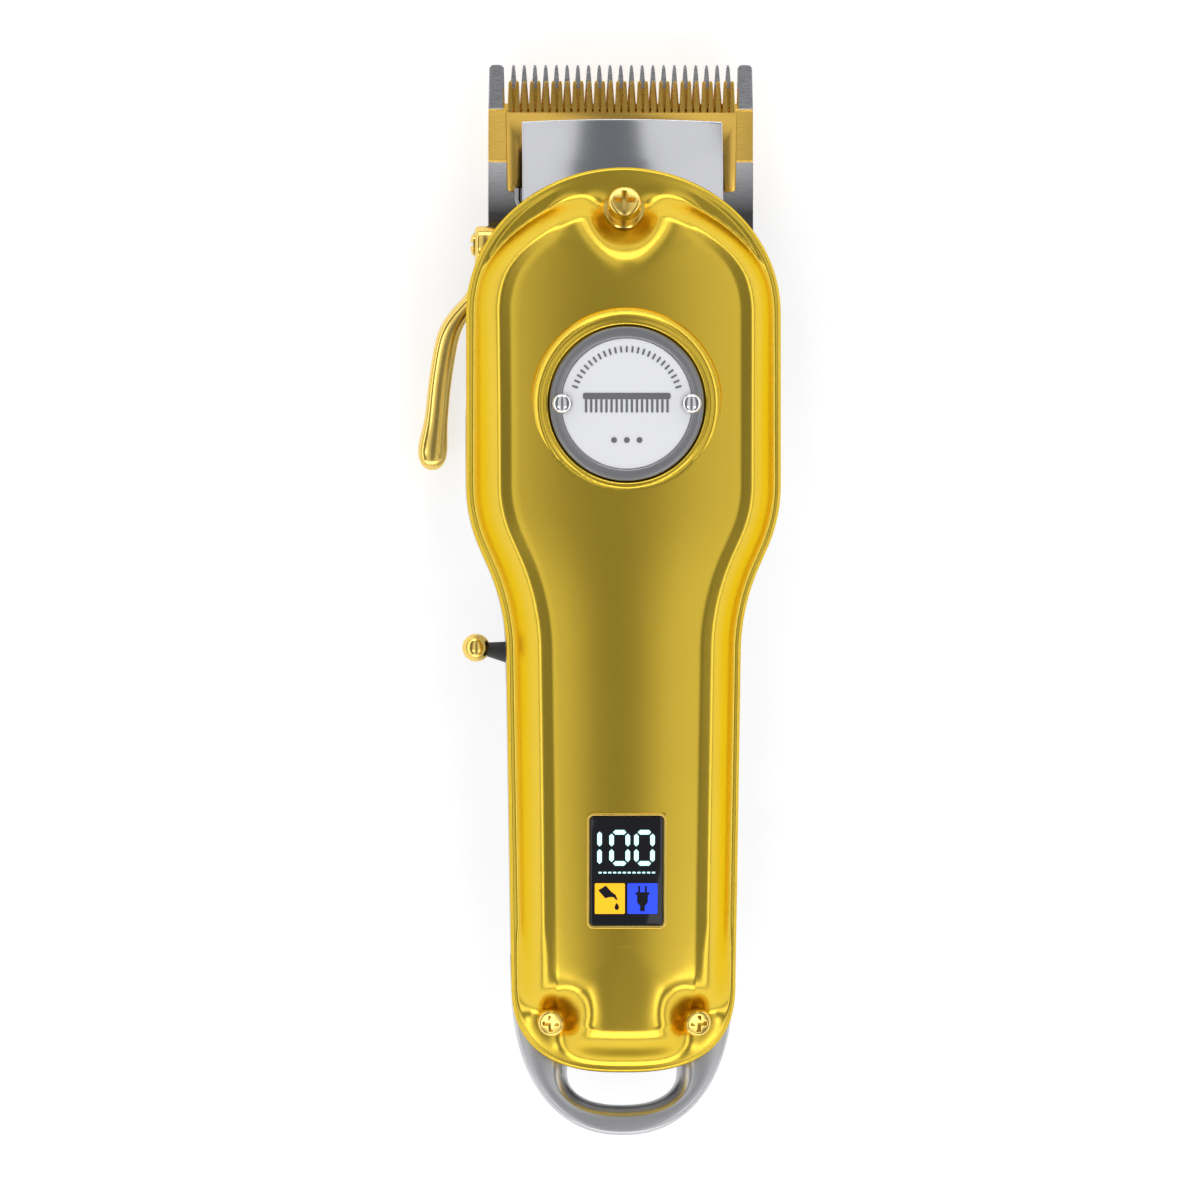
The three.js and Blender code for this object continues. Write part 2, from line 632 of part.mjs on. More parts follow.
// U-shaped slider behind the comb: two blocks over the comb's rear and a low bar joining them.
function bladeCarrier() {
  const bar = box(-16.5, 16.5, 56, 60.4, 10.6, 13.4);
  const blocks = SIDES.map((side) =>
    join(sideBox(side, 9.6, 16.5, 56, 69.4, 14, 16.7), sideBox(side, 9.6, 16.5, 56, 60.4, 12, 15)));
  const camY = LEVER_AXIS.y + CAM_OFFSET * Math.sin(CAM_REST_ANGLE);
  const camSlot = box(-17, -12.6, camY - 1.1, camY + 1.1, 13, 17);
  const screwHoles = SIDES.map((side) => bladeScrewRod(side, 13, 16.3, 1.65));
  return cut(join(bar, ...blocks), camSlot, ...screwHoles);
}

function bladeDriver() {
  const tongue = box(-3.4, 3.4, 50.4, 71, CUTTER_BOTTOM_Z, 16.4);
  const fork = cut(box(-8.6, 8.6, 48.6, 53.2, 10, FORK_TOP_Z), box(-5.8, 5.8, 48, 54, 9, FORK_TOP_Z - 0.5));
  const web = box(-8.6, 8.6, 53.1, 55.4, 13.9, FORK_TOP_Z);
  return join(cut(tongue, box(-5, 5, 48, 53.15, 9, 18)), fork, web);
}

function bladeSpring() {
  const route = [
    [-18, 71.4],
    [-18, 68.6],
    [-17, 67.3],
    [-8, 67.1],
    [8, 67.1],
    [14.8, 67.3],
    [16, 68.6],
    [16, 71.4],
  ].map(([x, y]) => vector(x, y, SPRING_Z));
  const section = new THREE.Shape();
  section.absarc(0, 0, SPRING_RADIUS, 0, 2 * Math.PI, false);
  const geometry = new THREE.ExtrudeGeometry(new THREE.Shape(section.getPoints(6).slice(0, -1)), {
    steps: 20,
    bevelEnabled: false,
    extrudePath: new THREE.CatmullRomCurve3(route, false, "catmullrom", 0.2),
  });
  return solidOf(geometry);
}

function bladeCover() {
  const section = [[60.5, 20.6], [75, 20.6], [83.2, 17.4], [83.2, 18.3], [75.6, 21.6], [60.5, 21.6]];
  const hole = rod(screwPoint(17), screwPoint(25), 1.8, 14);
  return cut(prismAcross(section, 17.35), hole);
}

function bladeBridge() {
  const crossBar = box(-14, 14, 55.8, 58.4, BRIDGE_BOTTOM_Z, BRIDGE_TOP_Z);
  const beam = box(-8, 8, 55.8, 68.6, BRIDGE_BOTTOM_Z, BRIDGE_TOP_Z);
  const { innerX, outerX, rearY, frontY } = BRIDGE_LEG;
  const sides = SIDES.map((side) => join(
    sideBox(side, innerX, outerX, rearY, 56, BRIDGE_BOTTOM_Z, BRIDGE_TOP_Z),
    sideBox(side, innerX, outerX, rearY, frontY, 11.5, BRIDGE_BOTTOM_Z + 0.3)));
  return cut(join(crossBar, beam, ...sides), rod(screwPoint(15), screwPoint(25), 1.6, 14));
}

// ---- taper lever ----
function leverSolid() {
  const { y, z } = LEVER_AXIS;
  const hub = rod(vector(-25.6, y, z), vector(-21.3, y, z), 3.25, 28);
  // Both edges run from the hub to the tip as [x, distance from the pivot].
  const edge = (corners) => new THREE.SplineCurve(corners.map(([x, r]) => new THREE.Vector2(x, y - r)));
  const outer = edge([
    [-25.6, 2.5],
    [-25.6, 7],
    [-26.6, 10],
    [-30.3, 13.3],
    [-32.7, 20.7],
    [-33.6, 27.8],
    [-33.9, 31.4],
    [-35, 34.8],
    [-35.2, 38.5],
  ]);
  const inner = edge([
    [-29.9, 38.5],
    [-29.9, 31.4],
    [-29.6, 27.8],
    [-28.7, 20.7],
    [-27.1, 14.5],
    [-24.2, 10.2],
    [-22.6, 6.5],
    [-22.6, 2.5],
  ]);
  const arm = prism([...outer.getPoints(20), ...inner.getPoints(18)], z - 1.6, z + 1.6);
  const tipX = -32.55;
  const tipY = y - 37.4;
  const knob = rod(vector(tipX, tipY, z - 2.2), vector(tipX, tipY, z + 2.2), 2.65, 20);
  const neck = box(tipX - 2.65, tipX + 2.65, tipY, y - 32, z - 1.9, z + 1.9);
  const bore = rod(vector(-27, y, z), vector(-20, y, z), 1.3, 16);
  const level = cut(join(hub, arm, knob, neck), bore);
  return tilted(level, -LEVER_REST_ANGLE, vector(0, y, z), vector(1, 0, 0));
}

function leverScrew() {
  const { y, z } = LEVER_AXIS;
  const head = rod(vector(-26.4, y, z), vector(-25.8, y, z), 2.1, 20);
  const shank = rod(vector(-25.9, y, z), vector(-21.6, y, z), 1, 12);
  return cut(join(head, shank), box(-27, -26.1, y - 3, y + 3, z - 0.3, z + 0.3));
}

// The cam's pin sits off the lever's axis, in a slot of the blade carrier.
function taperCam() {
  const { y, z } = LEVER_AXIS;
  const pinY = y + CAM_OFFSET * Math.sin(CAM_REST_ANGLE);
  const pinZ = z - CAM_OFFSET * Math.cos(CAM_REST_ANGLE);
  const shaft = rod(vector(-21, y, z), vector(-17, y, z), 2.2, 20);
  const disc = rod(vector(-18.4, y, z), vector(-17, y, z), 2.6, 18);
  const web = rod(vector(-17.7, y, z), vector(-17.7, pinY, pinZ), 0.68, 10);
  const pin = rod(vector(-18.4, pinY, pinZ), vector(-13, pinY, pinZ), 0.7, 12);
  return join(shaft, disc, web, pin);
}

function taperBush() {
  const { y, z } = LEVER_AXIS;
  const block = box(-20.7, -18.7, y - 4, y + 4, 14.1, 21.6);
  return cut(block, rod(vector(-30, y, z), vector(-10, y, z), 2.26, 24));
}

// ---- motor and drive ----
function motorParts() {
  const at = (y, x = 0, z = 0) => vector(x, y, MOTOR_AXIS_Z + z);
  const can = cut(rod(at(7), at(38), MOTOR_RADIUS, 32), rod(at(0), at(60), 1.9, 16));
  const cap = cut(rod(at(3.4), at(6.7), MOTOR_RADIUS - 0.4, 32), rod(at(0), at(60), 1.9, 16));
  const shaft = rod(at(4.4), at(44.7), 1.5, 16);
  const hub = rod(at(45), at(47.6), 4.6, 24);
  const crank = rod(at(47.5, 0, ECCENTRICITY), at(52.4, 0, ECCENTRICITY), 1.4, 14);
  const bearing = cut(rod(at(48.4, 0, ECCENTRICITY), at(51.6, 0, ECCENTRICITY), 2.9, 24),
    rod(at(40, 0, ECCENTRICITY), at(60, 0, ECCENTRICITY), 1.46, 14));
  const bracket = cut(box(-15.5, 15.5, 38.3, 39.8, 6.5, 21.4), rod(at(30), at(50), 2.6, 20));
  const screws = SIDES.map((side) => rod(at(39.95, side * 8), at(41.3, side * 8), 2, 16));
  return { can, cap, shaft, cam: join(hub, crank), bearing, bracket, screws };
}

// ---- power toggle ----
function toggleParts() {
  const { x, y, z } = TOGGLE;
  const arm = join(rod(vector(x + 0.6, y, z), vector(x - 6.4, y, z), 1.9, 16, 1.15),
    rod(vector(x, y, z - 1.8), vector(x, y, z + 1.8), 2.2, 20));
  const end = ball(vector(x - 8.1, y, z), 2.45, 14);
  const socket = rod(vector(x, y, z), vector(x - 6.8, y, z), 1.45, 16);
  const turn = (solid) => tilted(solid, -TOGGLE_REST_ANGLE, vector(x, y, z), vector(0, 0, 1));
  const body = cut(box(-15, -9.8, -14.2, -4.8, 12.6, 21),
    rod(vector(x, y, z - 2.5), vector(x, y, z + 2.5), 2.9, 20));
  return { arm: turn(arm), end: turn(end.subtract(socket)), body };
}

// ---- power ----
function powerParts() {
  const cell = rod(vector(0, -64.2, 12.6), vector(0, 0.6, 12.6), 9, 28);
  const frontTab = box(-3, 3, 0.9, 1.3, 8, 22.6);
  const rearTab = box(-3, 3, -64.9, -64.5, 8, 22.6);
  const board = cut(box(-12.5, 12.5, -58, -6, 24.4, 26), box(-13, -8.6, -16, -2, 20, 30));
  const socketBody = cut(rod(vector(0, -75, SOCKET_Z), vector(0, -68, SOCKET_Z), 3.6, 20),
    rod(vector(0, -80, SOCKET_Z), vector(0, -70, SOCKET_Z), 2.75, 16));
  const pin = rod(vector(0, -74.4, SOCKET_Z), vector(0, -70.3, SOCKET_Z), 0.85, 10);
  return { cell, frontTab, rearTab, board, socketBody, pin };
}

const motor = motorParts();
const toggle = toggleParts();
const power = powerParts();
const pieces = [
  ["front_shell", frontShell(), gold],
  ["rear_shell", rearShell(), silver],
  ["hanging_loop", hangingLoop(), silver],
  ["badge_ring", badgeRing(), steel],
  ["badge_disc", badgeDisc(), whitePlastic],
  ["badge_rivet_left", badgeRivet(-1), chrome],
  ["badge_rivet_right", badgeRivet(1), chrome],
  ["display_bezel", displayBezel(), gold],
  ["display_lens", displayLens(), lensBlack],
  ["display_board", displayBoard(), boardGreen],
  ["comb_blade", combBlade(), steel],
  ["blade_screw_left", bladeScrew(-1), steel],
  ["blade_screw_right", bladeScrew(1), steel],
  ["blade_carrier", bladeCarrier(), blackPlastic],
  ["cutter_blade", cutterBlade(), gold],
  ["blade_driver", bladeDriver(), whitePlastic],
  ["blade_spring", bladeSpring(), steel],
  ["blade_cover", bladeCover(), chrome],
  ["blade_bridge", bladeBridge(), blackPlastic],
  ["taper_lever", leverSolid(), gold],
  ["taper_lever_screw", leverScrew(), gold],
  ["taper_cam", taperCam(), steel],
  ["taper_bush", taperBush(), blackPlastic],
  ["motor_can", motor.can, steel],
  ["motor_end_cap", motor.cap, blackPlastic],
  ["motor_shaft", motor.shaft, steel],
  ["eccentric_cam", motor.cam, brass],
  ["eccentric_bearing", motor.bearing, steel],
  ["motor_bracket", motor.bracket, steel],
  ["motor_screw_left", motor.screws[0], steel],
  ["motor_screw_right", motor.screws[1], steel],
  ["toggle_arm", toggle.arm, blackPlastic],
  ["toggle_ball", toggle.end, gold],
  ["toggle_switch_body", toggle.body, blackPlastic],
  ["battery_cell", power.cell, cellWrap],
  ["battery_tab_front", power.frontTab, steel],
  ["battery_tab_rear", power.rearTab, steel],
  ["main_board", power.board, boardGreen],
  ["charging_socket", power.socketBody, blackPlastic],
  ["charging_pin", power.pin, steel],
];
const screwFeet = [18.9, 7.4, 7.4];
CASE_SCREWS.forEach((screw, i) => pieces.push([screw.name, screwSolid(screw, screwFeet[i]), gold]));

const group = new THREE.Group();
pieces.forEach(([name, solid, material]) => group.add(meshOf(name, solid, material)));
export default group;
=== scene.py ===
# Looks of the cordless hair clipper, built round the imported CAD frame.
# It lies on its back: +Z out of the gold cover, +Y towards the blades. Shapes are drawn in millimetres and MM
# turns them into metres; lights, camera and material textures are in metres.
import math
from collections import namedtuple

import bmesh
import bpy
import numpy as np
from mathutils import Matrix, Vector


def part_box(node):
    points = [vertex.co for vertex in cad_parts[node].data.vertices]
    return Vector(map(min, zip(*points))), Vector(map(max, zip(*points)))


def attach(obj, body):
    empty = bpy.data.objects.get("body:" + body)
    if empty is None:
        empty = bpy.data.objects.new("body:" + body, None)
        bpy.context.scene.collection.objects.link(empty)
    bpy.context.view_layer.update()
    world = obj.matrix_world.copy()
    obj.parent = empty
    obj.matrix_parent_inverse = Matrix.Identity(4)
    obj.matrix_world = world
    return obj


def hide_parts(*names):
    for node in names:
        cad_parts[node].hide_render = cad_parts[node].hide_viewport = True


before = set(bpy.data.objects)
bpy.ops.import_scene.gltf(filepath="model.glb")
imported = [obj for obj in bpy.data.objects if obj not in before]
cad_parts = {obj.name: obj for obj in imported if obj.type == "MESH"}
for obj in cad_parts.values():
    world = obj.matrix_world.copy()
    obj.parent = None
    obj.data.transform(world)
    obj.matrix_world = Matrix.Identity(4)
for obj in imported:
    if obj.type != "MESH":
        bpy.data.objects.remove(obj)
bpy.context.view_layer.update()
MM = 0.001


# ---- materials ----
def shader(name, color, roughness, metallic=0.0, **settings):
    material = bpy.data.materials.new(name)
    material.use_nodes = True
    bsdf = material.node_tree.nodes["Principled BSDF"]
    bsdf.inputs["Base Color"].default_value = (*color, 1)
    bsdf.inputs["Roughness"].default_value = roughness
    bsdf.inputs["Metallic"].default_value = metallic
    for label, value in settings.items():
        bsdf.inputs[label.replace("_", " ")].default_value = value
    return material, bsdf


def object_coordinates(material, scale=(1, 1, 1)):
    nodes = material.node_tree.nodes
    links = material.node_tree.links
    coordinates = nodes.new("ShaderNodeTexCoord")
    mapping = nodes.new("ShaderNodeMapping")
    mapping.inputs["Scale"].default_value = scale
    links.new(coordinates.outputs["Object"], mapping.inputs["Vector"])
    return mapping.outputs["Vector"]


def add_noise(material, scale, stretch=(1, 1, 1), detail=3.0):
    nodes = material.node_tree.nodes
    noise = nodes.new("ShaderNodeTexNoise")
    noise.inputs["Scale"].default_value = scale
    noise.inputs["Detail"].default_value = detail
    material.node_tree.links.new(object_coordinates(material, stretch), noise.inputs["Vector"])
    return noise.outputs["Fac"]


def remap(material, value, low, high, from_low=0.3, from_high=0.7):
    """Maps a value to low and high; the default range is the one that noise mostly covers."""
    node = material.node_tree.nodes.new("ShaderNodeMapRange")
    node.inputs["From Min"].default_value = from_low
    node.inputs["From Max"].default_value = from_high
    node.inputs["To Min"].default_value = low
    node.inputs["To Max"].default_value = high
    material.node_tree.links.new(value, node.inputs["Value"])
    return node.outputs["Result"]


def compute(material, operation, value, other=None):
    """A math node; other is a number or another node's output."""
    node = material.node_tree.nodes.new("ShaderNodeMath")
    node.operation = operation
    material.node_tree.links.new(value, node.inputs[0])
    if isinstance(other, float):
        node.inputs[1].default_value = other
    elif other is not None:
        material.node_tree.links.new(other, node.inputs[1])
    return node.outputs["Value"]


def blend_colors(material, factor, first, second):
    """Mixes two colors; the first can also be another node's output."""
    links = material.node_tree.links
    node = material.node_tree.nodes.new("ShaderNodeMix")
    node.data_type = "RGBA"
    if isinstance(first, tuple):
        node.inputs["A"].default_value = (*first, 1)
    else:
        links.new(first, node.inputs["A"])
    node.inputs["B"].default_value = (*second, 1)
    links.new(factor, node.inputs["Factor"])
    return node.outputs["Result"]


def bumped(material, bsdf, height, strength, distance):
    bump = material.node_tree.nodes.new("ShaderNodeBump")
    bump.inputs["Strength"].default_value = strength
    bump.inputs["Distance"].default_value = distance
    material.node_tree.links.new(height, bump.inputs["Height"])
    material.node_tree.links.new(bump.outputs["Normal"], bsdf.inputs["Normal"])


def worn_metal(name, color, roughness, grain=(1, 1, 1), scale=900, bump=0.06, shade=0.9, **settings):
    material, bsdf = shader(name, color, roughness, 1.0, **settings)
    links = material.node_tree.links
    fine = add_noise(material, scale, grain, 4.0)
    broad = add_noise(material, 60)
    links.new(remap(material, fine, roughness * 0.93, roughness * 1.08), bsdf.inputs["Roughness"])
    darker = tuple(channel * shade for channel in color)
    links.new(blend_colors(material, remap(material, broad, 0, 1), darker, color), bsdf.inputs["Base Color"])
    bumped(material, bsdf, fine, bump, 0.000008)
    return material


def moulded(name, color, roughness, scale=1400, bump=0.2, **settings):
    material, bsdf = shader(name, color, roughness, 0.0, **settings)
    links = material.node_tree.links
    grain = add_noise(material, scale)
    links.new(remap(material, grain, roughness * 0.9, roughness * 1.12), bsdf.inputs["Roughness"])
    lighter = tuple(min(channel * 1.12 + 0.004, 1) for channel in color)
    links.new(blend_colors(material, grain, color, lighter), bsdf.inputs["Base Color"])
    bumped(material, bsdf, grain, bump, 0.00003)
    return material


def glowing(name, color, strength):
    material, bsdf = shader(name, color, 0.3)
    fade = add_noise(material, 300)
    softer = tuple(channel * 0.93 for channel in color)
    tint = blend_colors(material, fade, softer, color)
    material.node_tree.links.new(tint, bsdf.inputs["Base Color"])
    material.node_tree.links.new(tint, bsdf.inputs["Emission Color"])
    bsdf.inputs["Emission Strength"].default_value = strength
    return material


def two_tone_blade(name, silver, gold, band_low_y, band_high_y, teeth_half_x, teeth_gold_y):
    """Steel with a gold band that reaches further up the fine teeth; behind the band the steel darkens in
    painted shade, where it runs in under the cutter and the blade cover.
    """
    material, bsdf = shader(name, silver, 0.3, 1.0)
    links = material.node_tree.links
    brushed = add_noise(material, 500, (1, 14, 1), 4.0)
    links.new(remap(material, brushed, 0.2, 0.34), bsdf.inputs["Roughness"])
    split = material.node_tree.nodes.new("ShaderNodeSeparateXYZ")
    links.new(object_coordinates(material), split.inputs["Vector"])
    x, y = split.outputs["X"], split.outputs["Y"]
    toothed = compute(material, "LESS_THAN", compute(material, "ABSOLUTE", x), teeth_half_x)
    band_top = remap(material, toothed, band_high_y, teeth_gold_y, 0, 1)
    above = compute(material, "GREATER_THAN", y, band_low_y)
    below = compute(material, "LESS_THAN", y, band_top)
    in_band = compute(material, "MULTIPLY", above, below)
    # painted shade: the steel behind the gold band is darkened to 12 % of its colour, fading out over 9 mm
    # towards the band
    painted_shade_steel = tuple(channel * 0.12 for channel in silver)
    clear_of_painted_shade = remap(material, y, 0, 1, band_low_y - 0.009, band_low_y - 0.0004)
    steel = blend_colors(material, clear_of_painted_shade, painted_shade_steel, silver)
    links.new(blend_colors(material, in_band, steel, gold), bsdf.inputs["Base Color"])
    bumped(material, bsdf, brushed, 0.06, 0.00002)
    return material


GOLD_SHELL = worn_metal("satin_gold_shell", (0.76, 0.53, 0.058), 0.25, scale=5200, bump=0.03, shade=0.965,
                        Specular_Tint=(1, 0.8, 0.3, 1))
GOLD_TRIM = worn_metal("polished_gold", (0.9, 0.64, 0.16), 0.19)
GOLD_BLADE = worn_metal("gold_coated_steel", (0.92, 0.58, 0.12), 0.24, (1, 10, 1), shade=0.8)
SILVER_CASE = worn_metal("satin_silver", (0.58, 0.58, 0.59), 0.33, scale=5200, bump=0.04)
GREY_METAL = worn_metal("brushed_grey_ring", (0.34, 0.34, 0.35), 0.36, (1, 12, 1), 700)
CHROME = worn_metal("polished_chrome", (0.72, 0.72, 0.74), 0.16, bump=0.02)
COVER_CHROME = worn_metal("brushed_chrome_cover", (0.7, 0.7, 0.72), 0.13, (1, 20, 1), 600, 0.05)
BLADE_STEEL = worn_metal("ground_blade_steel", (0.48, 0.48, 0.49), 0.26, (1, 12, 1), 600)
MOTOR_STEEL = worn_metal("plated_motor_steel", (0.55, 0.55, 0.57), 0.3)
BRASS = worn_metal("turned_brass", (0.7, 0.5, 0.2), 0.25, (1, 1, 12))
BLACK_PLASTIC = moulded("black_moulded_plastic", (0.018, 0.017, 0.016), 0.45)
WHITE_PLASTIC = moulded("white_moulded_plastic", (0.8, 0.8, 0.78), 0.4)
WHITE_ENAMEL = moulded("white_enamel", (0.98, 0.98, 0.98), 0.3, bump=0.03, Coat_Weight=0.5)
PRINT_GREY = moulded("printed_grey", (0.16, 0.16, 0.17), 0.5, bump=0.05)
LENS_BLACK = moulded("black_lens", (0.004, 0.004, 0.006), 0.06, bump=0.0, Coat_Weight=0.6)
BOARD = moulded("circuit_board_mask", (0.02, 0.16, 0.06), 0.4)
CELL_WRAP = moulded("cell_shrink_wrap", (0.03, 0.13, 0.42), 0.3, bump=0.05)
DIGIT_GLOW = glowing("digit_glow", (0.55, 0.95, 1.0), 0.9)
YELLOW_GLOW = glowing("yellow_indicator", (1.0, 0.5, 0.01), 0.55)
BLUE_GLOW = glowing("blue_indicator", (0.02, 0.06, 0.8), 0.75)
COMB_STEEL = two_tone_blade("two_tone_comb_steel", (0.5, 0.5, 0.51), (0.78, 0.5, 0.1),
                             band_low_y=0.076, band_high_y=0.0852, teeth_half_x=0.0205, teeth_gold_y=0.0888)


# ---- mesh helpers ----
def box_mm(node):
    """The lowest and the highest corner of a CAD node, in millimetres."""
    return [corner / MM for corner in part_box(node)]


def piece(name, mesh, material, body, slot, replaced=(), smooth_degrees=35):
    """Adds a visible piece that rides on a body; edges sharper than smooth_degrees stay sharp."""
    obj = bpy.data.objects.new(name, mesh)
    bpy.context.scene.collection.objects.link(obj)
    mesh.materials.clear()
    mesh.materials.append(material)
    mesh.shade_smooth()
    mesh.set_sharp_from_angle(angle=math.radians(smooth_degrees))
    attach(obj, body)
    if replaced:
        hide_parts(*replaced)


def mesh_of(name, points, faces):
    mesh = bpy.data.meshes.new(name)
    mesh.from_pydata([tuple(p) for p in points], [], faces)
    mesh.update()
    made = bmesh.new()
    made.from_mesh(mesh)
    bmesh.ops.remove_doubles(made, verts=made.verts, dist=1e-7)
    bmesh.ops.recalc_face_normals(made, faces=made.faces)
    made.to_mesh(mesh)
    made.free()
    return mesh


def modified(mesh, *setups):
    """Applies modifiers, each a (type, settings) pair, and returns the finished mesh."""
    holder = bpy.data.objects.new("holder", mesh)
    bpy.context.scene.collection.objects.link(holder)
    for kind, settings in setups:
        modifier = holder.modifiers.new(kind, kind)
        for key, value in settings.items():
            setattr(modifier, key, value)
    graph = bpy.context.evaluated_depsgraph_get()
    result = bpy.data.meshes.new_from_object(holder.evaluated_get(graph))
    bpy.data.objects.remove(holder)
    return result


def cut_by(mesh, cutter_mesh):
    cutter = bpy.data.objects.new("cutter", cutter_mesh)
    bpy.context.scene.collection.objects.link(cutter)
    result = modified(mesh, ("BOOLEAN", {"operation": "DIFFERENCE", "object": cutter, "solver": "EXACT"}))
    bpy.data.objects.remove(cutter)
    return result


def joined(name, meshes):
    whole = bmesh.new()
    for mesh in meshes:
        whole.from_mesh(mesh)
    mesh = bpy.data.meshes.new(name)
    whole.to_mesh(mesh)
    whole.free()
    return mesh


def grid_faces(rows, columns, wrap=True):
    """Quads between neighbouring rows of points; wrap joins the last column to the first."""
    faces = []
    for r in range(rows - 1):
        for c in range(columns if wrap else columns - 1):
            n = (c + 1) % columns
            faces.append((r * columns + c, r * columns + n, (r + 1) * columns + n, (r + 1) * columns + c))
    return faces


def lathe(name, profile, place=None, segments=64):
    """Turns (radius, height) corners in millimetres about +Z; place is a matrix."""
    points = []
    for radius, height in profile:
        for s in range(segments):
            angle = 2 * math.pi * s / segments
            points.append((radius * math.cos(angle) * MM, radius * math.sin(angle) * MM, height * MM))
    mesh = mesh_of(name, points, grid_faces(len(profile), segments))
    made = bmesh.new()
    made.from_mesh(mesh)
    bmesh.ops.dissolve_degenerate(made, dist=1e-8, edges=made.edges)
    bmesh.ops.recalc_face_normals(made, faces=made.faces)
    made.to_mesh(mesh)
    made.free()
    if place is not None:
        mesh.transform(place)
    return mesh


def prism(name, outline, low, high, bevel=0.0, segments=2, place=None):
    """An upright prism of an outline in millimetres."""
    count = len(outline)
    points = [(x * MM, y * MM, z * MM) for z in (low, high) for x, y in outline]
    faces = [tuple(reversed(range(count))), tuple(range(count, 2 * count))]
    faces += [(i, (i + 1) % count, count + (i + 1) % count, count + i) for i in range(count)]
    mesh = mesh_of(name, points, faces)
    if bevel:
        mesh = modified(mesh, ("BEVEL", {"width": bevel * MM, "segments": segments, "limit_method": "ANGLE"}))
    if place is not None:
        mesh.transform(place)
    return mesh


# Lays a prism along the X axis, so that its outline is in (Y, Z).
ACROSS = Matrix(((0, 0, 1, 0), (1, 0, 0, 0), (0, 1, 0, 0), (0, 0, 0, 1)))


def rounded_rectangle(half_x, half_y, corner, steps=6, x=0.0, y=0.0):
    outline = []
    for sx, sy, start in ((1, 1, 0), (-1, 1, 90), (-1, -1, 180), (1, -1, 270)):
        for s in range(steps + 1):
            angle = math.radians(start + 90 * s / steps)
            outline.append((x + sx * (half_x - corner) + corner * math.cos(angle),
                            y + sy * (half_y - corner) + corner * math.sin(angle)))
    return outline


# ---- the outline of the body, from the box of the CAD shell ----
shell_low, shell_high = box_mm("front_shell")
HEAD_HALF_WIDTH = shell_high.x
NOSE_Y = shell_high.y
TAIL_Y = shell_low.y
HEAD_HALF_LENGTH = 25.2
HEAD_CENTRE_Y = NOSE_Y - HEAD_HALF_LENGTH
WAIST_HALF_WIDTH = 20.3
TAIL_HALF_WIDTH = 19.4
TAIL_LENGTH = 16.0
TAIL_START_Y = TAIL_Y + TAIL_LENGTH
TAIL_POWER = 2.6
SHOULDER_Y = 19.9
SHOULDER_RADIUS = 27.3
WAIST_RADIUS = 37.0
WAIST_Y = -9.4
SHOULDER_ANGLE = math.radians(24)
PARTING_Z = shell_low.z
PANEL_INSET = 7.5
PANEL_CROWN = 1.6
CROWN_START = 3.5
LEDGE_DEPTH = 1.5
SPINE_LOW_Y = -60
BADGE_Y = sum(c.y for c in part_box("badge_disc")) / 2 / MM
DISPLAY_Y = sum(c.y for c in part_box("display_bezel")) / 2 / MM


def arc(cx, cy, rx, ry, start, end, count):
    """Points on an ellipse between two angles."""
    angles = np.linspace(start, end, count)
    return np.stack([cx + rx * np.cos(angles), cy + ry * np.sin(angles)], 1)


def tail_and_waist():
    """The right-hand outline below the head: two tangent arcs, then a squarish end."""
    s, c = math.sin(SHOULDER_ANGLE), math.cos(SHOULDER_ANGLE)
    shoulder = arc(HEAD_HALF_WIDTH - SHOULDER_RADIUS, SHOULDER_Y, SHOULDER_RADIUS, SHOULDER_RADIUS,
                   0, -SHOULDER_ANGLE, 30)
    waist = arc(WAIST_HALF_WIDTH + WAIST_RADIUS, WAIST_Y, WAIST_RADIUS, WAIST_RADIUS,
                math.pi - SHOULDER_ANGLE, math.pi, 30)
    angles = np.linspace(0, math.pi / 2, 90)
    tail = np.stack([TAIL_HALF_WIDTH * np.cos(angles).clip(0) ** (2 / TAIL_POWER),
                     TAIL_START_Y - TAIL_LENGTH * np.sin(angles) ** (2 / TAIL_POWER)], 1)
    return [shoulder, waist, tail]


def even_outline(parts, spacing):
    """Right-hand side resampled evenly, mirrored to a closed loop, with inward normals."""
    path = np.concatenate(parts)
    steps = np.linalg.norm(np.diff(path, axis=0), axis=1)
    path = path[np.concatenate([[True], steps > 1e-6])]
    along = np.concatenate([[0], np.cumsum(np.linalg.norm(np.diff(path, axis=0), axis=1))])
    count = int(along[-1] / spacing)
    wanted = np.linspace(0, along[-1], count + 1)
    right = np.stack([np.interp(wanted, along, path[:, i]) for i in (0, 1)], 1)
    right[0, 0] = right[-1, 0] = 0
    left = right[1:-1][::-1] * [-1, 1]
    loop = np.concatenate([right, left])
    tangent = np.roll(loop, -3, 0) - np.roll(loop, 3, 0)
    tangent /= np.linalg.norm(tangent, axis=1)[:, None]
    return loop, np.stack([tangent[:, 1], -tangent[:, 0]], 1)


def step(value, low, high):
    """Goes smoothly from 0 at low to 1 at high."""
    t = np.clip((np.asarray(value, float) - low) / (high - low), 0, 1)
    return t * t * (3 - 2 * t)


def flange_z(y):
    """Height of the cover's flat rim, which falls a little towards both ends."""
    return 25.6 - 1.2 * step(y, 40, 74) - 0.8 * step(-y, 40, 80)


def shoulder_z(y):
    """Height of the cover's panel at its edge, which falls away towards the nose and the tail."""
    return 35.6 - 7.4 * (np.maximum(y - 14, 0) / 61) ** 2 - 4.6 * (np.maximum(-y - 5, 0) / 77) ** 2


# head_top is the middle of the head's top, lean the way its axis leans, notch the radius of the notch that
# the cover leaves for it, and steepness how fast the notch's wall climbs.
Screw = namedtuple("Screw", "name head_top lean degrees radius height notch steepness")
SCREWS = [
    Screw("case_screw_top", Vector((0, 69.2, 28.4)), (0, 1), 28, 2.95, 3.6, 4.3, 1.3),
    Screw("case_screw_left", Vector((-12.85, -73.5, 28.6)), (-1, -1), 18, 2.4, 3.4, 3.1, 1.5),
    Screw("case_screw_right", Vector((12.85, -73.5, 28.6)), (1, -1), 18, 2.4, 3.4, 3.1, 1.5),
]


def screw_axis(screw):
    lean = math.radians(screw.degrees)
    return Vector((*screw.lean, 0)).normalized() * math.sin(lean) + Vector((0, 0, math.cos(lean)))


